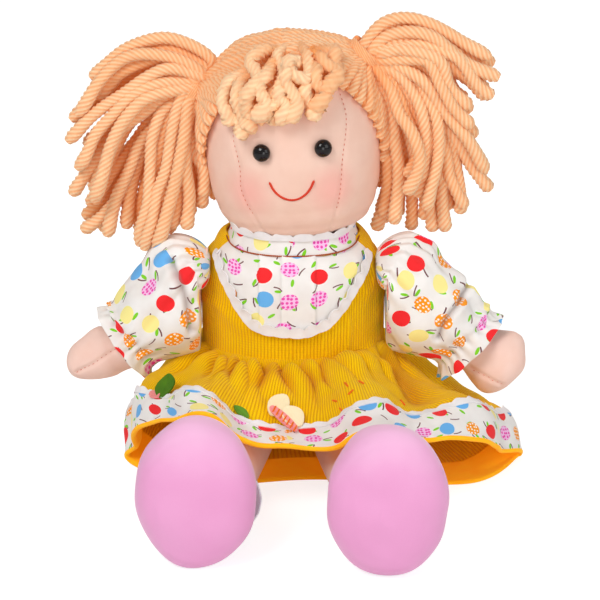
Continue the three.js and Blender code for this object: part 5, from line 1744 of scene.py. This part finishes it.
# %% Hair base
BASE_THICK = 2.6
hair_rings = np.linspace(0.03, 0.97, 48)
hair_angles = turn(160)
around = np.abs(((hair_angles + math.pi) % (2 * math.pi)) - math.pi) / math.pi
hair_edge = smooth_table(HAIR_EDGE, around)[:, 0]
base_shares = 1 - (1 - hair_edge[None, :]) * hair_rings[:, None]
base_grid = tilted(head_points(base_shares, hair_angles[None, :], 1.9))
hair_base = sheet_piece("hair_base", base_grid, yarn_wool, BASE_THICK, True)
# The base is darkened all over by its shade and groove values: painted shade under the strands.
for key, value in (("shade", 0.7), ("groove", 0.4)):
    keep_values(hair_base, key, np.full(len(hair_base.data.vertices), value))

# %% Strands over the head
TIE_SHARES = {"left": 0.73, "right": 0.84}
STRAND = 2.75
draw = np.random.default_rng(71)


def head_direction(share, angle):
    """The direction from the head's middle to a place on it, on a unit ball."""
    x, y, z = head_points(share, angle, 0.0)
    return unit(np.array([x / HEAD_HALF_WIDTH, y / HEAD_HALF_DEPTH, z / HEAD_HEIGHT * 2 - 1]))


def ball_arc(a, b, t):
    """Directions on the ball from a to b."""
    gap = math.acos(np.clip(a @ b, -1, 1))
    return (np.sin((1 - t) * gap)[:, None] * a + np.sin(t * gap)[:, None] * b) / math.sin(gap)


def head_strand(start, tie, offset, lift):
    """A strand from a place on the head to the tie, ending beside the others there."""
    t = np.linspace(0, 1, 40)
    way = ball_arc(start, unit(tie + offset), t)
    local = way * (HEAD_HALF_WIDTH, HEAD_HALF_DEPTH, HEAD_HEIGHT / 2) + (0, 0, HEAD_HEIGHT / 2)
    rise = lift + smooth_step(t, 0.6, 1.0) * 2.6 - (1 - smooth_step(t, 0.0, 0.08)) * 1.6
    wobble = unevenness(local, 14.0, int(draw.integers(1e6))) * 0.5
    return tilted(on_head(local, rise + wobble))


hair_strands = {}
for side, sign in SIDES:
    tie = head_direction(TIE_SHARES[side], sign * math.pi / 2)
    starts = []
    for angle in np.linspace(36, 236, 33):
        lean = math.radians(angle)
        starts.append(unit(np.array([sign * -0.03, -math.cos(lean), math.sin(lean)])))
    for angle in np.linspace(14, 177, 30):
        edge = smooth_table(HAIR_EDGE, angle / 180)[0] - 0.005
        starts.append(head_direction(edge, sign * math.radians(angle)))
    lines, radii, shades = [], [], []
    for start in starts:
        away = start - tie
        offset = unit(away - tie * (away @ tie)) * 0.1
        line = head_strand(start, tie, offset, 2.6 + draw.uniform(-0.3, 0.9))
        t = np.linspace(0, 1, len(line))
        lines.append(line)
        radii.append(STRAND * draw.uniform(0.94, 1.06) * (1 - 0.3 * smooth_step(t, 0.55, 1.0)))
        # Darker towards the tie, where the strands crowd: painted shade.
        dark = 0.12 + 0.5 * smooth_step(t, 0.75, 1.0) + draw.uniform(-0.08, 0.16)
        shades.append(np.clip(dark, 0, 1))
    hair_strands[side] = yarn_piece("hair_strands_" + side, lines, radii, shades)

# %% Ties
tie_yarn = {}
for side, sign in SIDES:
    skin = head_points(TIE_SHARES[side], sign * math.pi / 2, 5.3)
    axis = unit(skin - head_points(TIE_SHARES[side], sign * math.pi / 2, 0.3))
    first = unit(np.cross(axis, (0.0, 1.0, 0.0)))
    second = np.cross(axis, first)
    a = np.linspace(0, 6 * math.pi, 150)[:, None]
    coil = skin + axis * (1.2 + a / (6 * math.pi) * 3.4) + (first * np.cos(a) + second * np.sin(a)) * 7.6
    tie_yarn[side] = yarn_piece("tie_yarn_" + side, [tilted(coil)], [np.full(150, 1.3)], [np.full(150, 0.35)])

# %% Bunches
BUNCH_STRAND = 3.15
BUNCH_LAYERS = 4
# Painted shade for each layer: the back layers are darker.
LAYER_SHADES = (0.06, 0.34, 0.44, 0.16)


def cut_end(t):
    """A strand's thickness near its cut end: it spreads a little and is round at the very end."""
    return 1 + 0.14 * smooth_step(t, 0.86, 0.96) - 0.5 * smooth_step(t, 0.965, 1.0) ** 2


def between(first, second, share):
    """A line between two measured lines, as points."""
    return smooth_line(first, 60) * (1 - share) + smooth_line(second, 60) * share


bunch_yarn = {}
for side, sign in SIDES:
    measured = [bunch_line(*row) for row in BUNCH_LINES[side]]
    t = np.linspace(0, 1, 60)
    lines, radii, shades = [], [], []
    for number, line in enumerate(measured):
        for layer in range(BUNCH_LAYERS):
            neighbour = measured[min(number + 1, len(measured) - 1)]
            share = draw.uniform(0.25, 0.75) if layer else 0.0
            points = between(line, neighbour, share)
            aside, behind, up = draw.normal(0, 1.3), draw.uniform(-1.5, 1.5), draw.normal(0, 0.9)
            shift = np.array((aside, layer * 5.2 + behind, up - layer * 1.5))
            points = points + (shift if layer else 0 * shift) * smooth_step(t, 0.0, 0.6)[:, None]
            shorter = 1 - draw.uniform(0.01, 0.12) if layer else 1.0
            points = points[0] + (points - points[0]) * (1 + (shorter - 1) * t)[:, None]
            waves = np.stack([unevenness(points, 30.0, int(draw.integers(1e6))) for _ in range(3)], axis=1)
            points = points + waves * 0.8 * smooth_step(t, 0.1, 0.5)[:, None]
            aside, behind, up = (draw.normal(0, reach) for reach in (1.8, 1.2, 2.2))
            root = np.array((aside, layer * 2.4 - 2.0 + behind, up))
            points = points + root * (1 - smooth_step(t, 0.0, 0.35))[:, None]
            lines.append(points)
            thick = BUNCH_STRAND * draw.uniform(0.95, 1.07) * (0.74 + 0.26 * smooth_step(t, 0.02, 0.25))
            radii.append(thick * cut_end(t))
            # Darker near the tie: painted shade. The cut ends are paler.
            dark = LAYER_SHADES[layer] + 0.45 * (1 - smooth_step(t, 0.0, 0.32)) + draw.uniform(-0.06, 0.1)
            shades.append(np.clip(dark - 0.35 * smooth_step(t, 0.86, 1.0), 0, 1))
    bunch_yarn[side] = yarn_piece("bunch_yarn_" + side, lines, radii, shades, 1.3)

# %% Fringe
FRINGE_LINES = (
    ((1.4, 197.2), (-4.1, 194.5), (-5.4, 188.9), (-4.0, 182.0), (-5.4, 171.9)),
    ((3.2, 196.7), (5.4, 192.3), (5.9, 187.3), (2.7, 183.1), (-0.9, 185.1), (0.0, 188.9), (3.2, 189.9)),
    ((-6.3, 193.6), (-10.4, 192.5), (-14.5, 187.6), (-13.5, 182.3), (-16.2, 176.3), (-17.1, 169.9)),
    ((-14.0, 190.1), (-19.9, 185.4), (-23.5, 181.1), (-24.9, 174.4), (-22.6, 167.0), (-23.5, 161.6)),
    ((-18.6, 186.7), (-24.9, 181.6), (-26.3, 175.8), (-24.3, 170.6), (-27.2, 166.0)),
    ((-1.4, 190.5), (-2.3, 185.8), (-0.4, 179.5), (0.0, 169.3)),
    ((3.2, 185.8), (5.8, 179.4), (8.1, 170.4)),
    ((5.0, 190.9), (8.6, 185.6), (10.3, 179.1), (10.3, 173.3)),
    ((-7.7, 189.8), (-9.9, 183.3), (-11.2, 176.7), (-13.0, 170.2)),
    ((-6.3, 182.7), (-9.0, 176.0), (-8.1, 169.6)),
    ((-16.3, 185.9), (-20.8, 180.0), (-19.2, 173.5), (-19.9, 164.8)),
    ((6.8, 192.9), (11.7, 188.4), (14.0, 183.7), (13.1, 179.7)),
    ((8.6, 194.8), (15.0, 190.9), (18.6, 185.4)),
    ((-3.1, 184.3), (-4.0, 177.8), (-2.7, 169.3)),
)
FRINGE_STRAND = 2.9
FRINGE_GROOVE = 0.1
FRINGE_CONTRAST = 0.45
lines, radii, shades = [], [], []
for number, tuft in enumerate(FRINGE_LINES):
    t = np.linspace(0, 1, 60)
    rows = smooth_line(tuft, 60)
    phase = draw.uniform(0, 2 * math.pi)
    curls = draw.uniform(1.2, 2.0)
    size = 1.5 * smooth_step(t, 0.1, 0.5)
    x = rows[:, 0] + size * np.cos(phase + curls * 2 * math.pi * t)
    local = untilted(np.stack([x, np.full(60, -HEAD_HALF_DEPTH), rows[:, 1]], axis=1))
    share = np.clip(local[:, 2] / HEAD_HEIGHT, 0, 0.985)
    width = smooth_table(HEAD_LEVELS, share)[:, 0] * HEAD_HALF_WIDTH
    angle = np.arcsin(np.clip(local[:, 0] / width, -0.95, 0.95))
    raised = 3.4 * smooth_step(share, 0.66, 0.82) * (1 - smooth_step(share, 0.9, 0.97))
    over = 2.4 + 1.5 * (number % 3) + raised
    lift = over * (0.8 + 0.4 * np.sin(math.pi * t)) + size * (1 + np.sin(phase + curls * 2 * math.pi * t))
    lines.append(tilted(head_points(share, angle, lift)))
    brushed = 1 + 0.35 * smooth_step(t, 0.55, 0.92) - 0.45 * smooth_step(t, 0.94, 1.0) ** 2
    radii.append(FRINGE_STRAND * draw.uniform(0.9, 1.1) * (0.8 + 0.2 * smooth_step(t, 0.0, 0.3)) * brushed)
    # Tufts right of the parting are darker, and so is every root: painted shade.
    deep = 0.32 if tuft[0][0] > 4.5 else 0.0
    shades.append(np.clip(deep + draw.uniform(-0.05, 0.15) + 0.5 * (1 - smooth_step(t, 0.0, 0.4)), 0, 1))
    behind = smooth_step(t, 0.0, 0.3) * math.copysign(0.075, math.sin(number * 2.1))
    under = np.minimum(share + 0.03 * t, 0.985)
    lines.append(tilted(head_points(under, angle + behind, 1.6 + 0.5 * (number % 2) + 0 * t)))
    radii.append(FRINGE_STRAND * 1.05 * (0.85 + 0.15 * smooth_step(t, 0.0, 0.3)) * brushed)
    # The tufts behind the front ones are darker: painted shade.
    shades.append(np.clip(0.5 - 0.2 * t, 0, 1))
fringe_yarn = yarn_piece("fringe_yarn", lines, radii, shades, 0.9, FRINGE_GROOVE)
roughen(fringe_yarn, 1.9, 0.55, 91)
# The fringe keeps less of the painted shade in its grooves.
layer = fringe_yarn.data.attributes["groove"].data
faint = np.zeros(len(layer), np.float32)
layer.foreach_get("value", faint)
layer.foreach_set("value", faint * FRINGE_CONTRAST)
yarn = (*hair_strands.values(), *bunch_yarn.values(), fringe_yarn)
print("yarn faces:", sum(len(piece.data.polygons) for piece in yarn))

# %% [markdown]
# ## Felt shapes and loose stitches on the skirt
#
# Small felt petals and leaves lie on the lap. Each takes its place and direction from the skirt's
# own surface.

# %% Felt on the skirt
FELT = 0.9
PETAL = (13.0, 4.8)
LEAF = (15.0, 5.2)
BUD = (9.0, 2.6)
BAND = (19.0, 2.3)


def skirt_patch(u, v, lift):
    """A place on the skirt with its directions across, down and out."""
    grid, normal = skirt_grid(np.array([u - 0.004, u, u + 0.004]), np.array([v - 0.01, v, v + 0.01]), lift)
    out = grid_up(grid, normal)[1, 1]
    across = unit(grid[1, 2] - grid[1, 0])
    down = unit(np.cross(out, across))
    down = down * math.copysign(1, (grid[2, 1] - grid[0, 1]) @ down)
    return grid[1, 1], across, down, out


def felt_piece(name, place, turn_by, size, finish, lift, curl, round_by, stand=0.0):
    """A rounded felt shape: curl lifts its edges, round_by makes it blunt, stand raises its far end."""
    u, v = place
    origin, across, down, out = skirt_patch(u, v, lift)
    ahead = down * math.cos(turn_by) + across * math.sin(turn_by)
    side = np.cross(out, ahead)
    cosine, sine = math.cos(stand), math.sin(stand)
    ahead, out = ahead * cosine - out * sine, out * cosine + ahead * sine
    length, half = size
    t = np.linspace(0, 1, 40)
    widths = np.maximum(np.sin(math.pi * t) ** round_by, 0.02) * half
    reach = np.linspace(-1, 1, 21)
    x = widths[:, None] * reach[None, :]
    y = ((0.5 - t) * length)[:, None] + 0 * x
    rise = curl * ((x / half) ** 2 + 0.8 * (y / length * 2) ** 2) - 0.25 * np.exp(-((x / 0.6) ** 2))
    grid = origin + side * x[..., None] - ahead * y[..., None] + out * rise[..., None]
    return sheet_piece(name, grid, finish, FELT, False, None, np.broadcast_to(out, grid.shape))


leaf_big = felt_piece("leaf_big", (0.852, 0.72), 0.45, LEAF, green_felt, 3.6, 0.6, 0.75, 0.5)
leaf_little = felt_piece("leaf_little", (0.957, 0.735), 0.9, BUD, leaf_felt, 1.7, 0.3, 0.8)
scrap = felt_piece("pink_scrap", (0.838, 0.80), 1.3, BUD, rose_felt, 1.9, 0.3, 0.8)
petal_one = felt_piece("petal_one", (0.99, 0.655), -0.5, PETAL, cream_felt, 3.0, 1.2, 0.6, 0.25)
petal_two = felt_piece("petal_two", (0.013, 0.735), 0.6, PETAL, cream_felt, 3.4, 1.2, 0.6, 0.25)
petal_band = felt_piece("petal_band", (0.9985, 0.755), 0.8, BAND, rose_felt, 4.4, 0.5, 0.35)

# %% Loose orange stitches
LOOSE = (
    ((0.0782, 0.55), (0.08, 0.6)), ((0.0842, 0.66), (0.08, 0.67)), ((0.0972, 0.55), (0.1, 0.59)),
    ((0.1063, 0.8), (0.112, 0.81)), ((0.1253, 0.82), (0.132, 0.81)), ((0.1494, 0.7), (0.153, 0.64)),
    ((0.058, 0.64), (0.062, 0.66)), ((0.065, 0.72), (0.068, 0.76)),
)
loose = []
for ends in LOOSE:
    loose.append(np.linspace(*(skirt_patch(u, v, 0.9)[0] for u, v in ends), 8))
loose_stitches = stitched("loose_stitches", loose, orange_thread, 0.8, 1.5, 0.9)
band_at, band_across, band_down, band_out = skirt_patch(0.9985, 0.755, 5.3)
band_ahead = band_down * math.cos(0.8) + band_across * math.sin(0.8)
band_side = np.cross(band_out, band_ahead)
crossing = []
for step in np.linspace(-7.5, 7.5, 7):
    start = band_at + band_ahead * step + band_side * 1.3
    crossing.append(np.linspace(start, start + band_ahead * 1.3 - band_side * 2.6, 6))
band_stitches = stitched("band_stitches", crossing, orange_thread, 0.6, 1.1, 0.8)
print("felt:", leaf_big.name, petal_one.name, petal_band.name)

# %% [markdown]
# ## The white stage and its light
#
# The doll sits on a white floor that fades into white. The floor shows white to the camera and
# keeps a soft shadow: a Light Path node mixes plain white light with a white surface.

# %% Floor
FLOOR_GLOW = 1.85
FLOOR_SHARE = 0.42
SKY_STRENGTH = 0.4


def white_to_camera(tree, lit, seen, output, share):
    """Mixes in a plain white by a share, only for what the camera sees."""
    ray = tree.nodes.new("ShaderNodeLightPath")
    part = tree.nodes.new("ShaderNodeMath")
    part.operation = "MULTIPLY"
    part.inputs[1].default_value = share
    mix = tree.nodes.new("ShaderNodeMixShader")
    for source, socket in (
        (ray.outputs["Is Camera Ray"], part.inputs[0]), (part.outputs[0], mix.inputs[0]),
        (lit.outputs[0], mix.inputs[1]), (seen.outputs[0], mix.inputs[2]),
        (mix.outputs[0], tree.nodes[output].inputs[0]),
    ):
        tree.links.new(source, socket)


floor_mesh = bpy.data.meshes.new("floor")
floor_mesh.from_pydata([(-6, -6, 0), (6, -6, 0), (6, 6, 0), (-6, 6, 0)], [], [(0, 1, 2, 3)])
floor_finish = Finish("floor_white", roughness=1.0, specular=0.0)
floor_finish.colour((0.9, 0.9, 0.9, 1))
floor_glow = floor_finish.tree.nodes.new("ShaderNodeEmission")
floor_glow.inputs["Strength"].default_value = FLOOR_GLOW
white_to_camera(floor_finish.tree, floor_finish.shader, floor_glow, "Material Output", FLOOR_SHARE)
floor_mesh.materials.append(floor_finish.material)
floor = add_object("floor", floor_mesh)

# %% World and lamps
world = bpy.data.worlds.new("white")
bpy.context.scene.world = world
world.use_nodes = True
sky = world.node_tree.nodes["Background"]
plain_sky = world.node_tree.nodes.new("ShaderNodeBackground")
for light, strength in ((sky, SKY_STRENGTH), (plain_sky, 1.0)):
    light.inputs["Color"].default_value = (1, 1, 1, 1)
    light.inputs["Strength"].default_value = strength
white_to_camera(world.node_tree, sky, plain_sky, "World Output", 1.0)


def lamp(name, at, size, power, aim=(0.0, 0.0, 0.1)):
    """A soft square lamp that shines at a point."""
    data = bpy.data.lights.new(name, "AREA")
    data.size = size
    data.energy = power
    made = add_object(name, data)
    made.location = at
    made.rotation_euler = (Vector(aim) - Vector(at)).to_track_quat("-Z", "Y").to_euler()


lamp("key", (-0.5, -0.8, 1.0), 0.5, 7.6)
lamp("fill", (0.9, -0.7, 0.6), 0.7, 3.0)
lamp("low", (0.25, -1.2, 0.22), 0.5, 2.4)
lamp("back", (0.1, 0.9, 1.0), 0.7, 2.6)

# %% [markdown]
# ## Joining the looks to the moving frame
#
# Most pieces ride on one body of the frame and stand for the solids that they replace. The skirt's
# parts and the felt on them stay where they were made and stand for their solids.

# %% Pieces on one body


def stand_for(nodes):
    """Hides some solids, so that a piece shows in their place."""
    if nodes:
        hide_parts(*nodes)


def put_on(piece, body, nodes):
    """Rides a piece on a body in place of some solids."""
    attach(piece, body)
    stand_for(nodes)


for piece, body, nodes, slot in (
    (torso_body, "torso", ["torso"], "skin_cloth"),
    (neck_body, "neck", ["neck"], "skin_cloth"),
    (bodice_cloth, "torso", ["bodice"], "corduroy"),
    (strap_pieces["left"], "torso", ["shoulder_strap_left"], "corduroy"),
    (strap_pieces["right"], "torso", ["shoulder_strap_right"], "corduroy"),
    (bib_cloth, "torso", ["bib"], "printed_cotton"),
    (bib_lace, "torso", ["bib_ruffle"], "lace"),
    (collar_cloth, "torso", ["collar_band"], "printed_cotton"),
    (collar_lace, "torso", ["collar_ruffle"], "lace"),
    (collar_piping, "torso", [], "orange_thread"),
    (head_cloth, "head", ["head"], "skin_cloth"),
    (eye_pieces["left"], "head", ["eye_left"], "eye_plastic"),
    (eye_pieces["right"], "head", ["eye_right"], "eye_plastic"),
    (seam_stitches, "head", [], "skin_cloth"),
    (smile, "head", ["mouth_stitch"], "red_thread"),
    (hair_base, "head", ["hair_cap"], "yarn"),
    (fringe_yarn, "head", ["fringe"], "yarn"),
):
    put_on(piece, body, nodes)

for side, _ in SIDES:
    put_on(hair_strands[side], "head", [])
    put_on(tie_yarn[side], "head", ["hair_tie_" + side])
    put_on(bunch_yarn[side], "bunch_" + side, ["yarn_bunch_" + side])
    put_on(arm_pieces[side], "arm_" + side, ["arm_" + side])
    put_on(hand_stitches[side], "arm_" + side, [])
    put_on(sleeve_pieces[side], "arm_" + side, ["sleeve_" + side])
    put_on(leg_pieces[side], "leg_" + side, ["leg_" + side])
    put_on(shoe_pieces[side], "leg_" + side, ["shoe_upper_" + side, "shoe_sole_" + side])
    put_on(sock_pieces[side], "leg_" + side, ["sock_" + side])
    for node, finish in (("eye_washer_" + side, washer_plastic), ("cuff_elastic_" + side, elastic_band)):
        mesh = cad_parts[node].data
        mesh.materials.clear()
        mesh.materials.append(finish.material)

for piece in (collar_cloth, collar_lace, collar_piping):
    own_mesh(piece)

# %% Cloth that crosses the hips
# Each part of the skirt's underside has a slope in the floor's plane: the share at a place UNDER_LEG
# millimetres beside the middle, and how it changes over a millimetre ahead or aside.
LAP_START = (0.0028, -0.0965, 0.03875)
LAP_WAY = (0.0337, -0.0175, 0.00905)
UNDER_LEG = 32.0
FLOOR_TURNS = {
    "left": {"share": 0.2, "ahead": 0.014, "under": -0.01, "inner": 0.02},
    "right": {"share": -0.3, "ahead": 0.014, "under": 0.015, "inner": 0.015},
}


def bend_with_leg(piece, side, part):
    """Works out a line between the torso and a leg for a piece of the skirt, and bakes the piece in place."""
    sign = -1 if side == "left" else 1
    if part == "front":
        start = (sign * LAP_START[0], LAP_START[1], LAP_START[2])
        end = tuple(a + b for a, b in zip(start, (sign * LAP_WAY[0], LAP_WAY[1], LAP_WAY[2])))
    else:
        turns = FLOOR_TURNS[side]
        slope = np.array((sign * turns[part], -turns["ahead"], 0.0))
        way = slope / (slope @ slope)
        begin = np.array((sign * UNDER_LEG, 0.0, 0.0)) - turns["share"] * way
        start, end = tuple(begin * METRES), tuple((begin + way) * METRES)
    "leg_" + side
    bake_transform(piece)


SKIRT_NODES = ("skirt", "hem_band", "hem_trim", "hem_band")
SKIRT_SLOTS = ("corduroy", "printed_cotton", "lace", "corduroy")
for name, made in skirt_pieces.items():
    part, side = name.split("_")
    for piece, node, slot in zip(made, SKIRT_NODES, SKIRT_SLOTS):
        bend_with_leg(piece, side, part)
        stand_for([node])

for piece, side, nodes, slot in (
    (leaf_big, "left", ["leaf_large"], "green_felt"),
    (leaf_little, "left", ["leaf_small"], "green_felt"),
    (petal_one, "left", ["petal_left"], "cream_felt"),
    (petal_two, "right", ["petal_right"], "cream_felt"),
    (loose_stitches, "right", ["skirt_stitches"], "orange_thread"),
    (scrap, "left", [], "cream_felt"),
    (petal_band, "left", [], "cream_felt"),
    (band_stitches, "left", [], "orange_thread"),
):
    bend_with_leg(piece, side, "front")
    stand_for(nodes)

# %% [markdown]


for side, _ in SIDES:
    "arm_" + side
    "leg_" + side
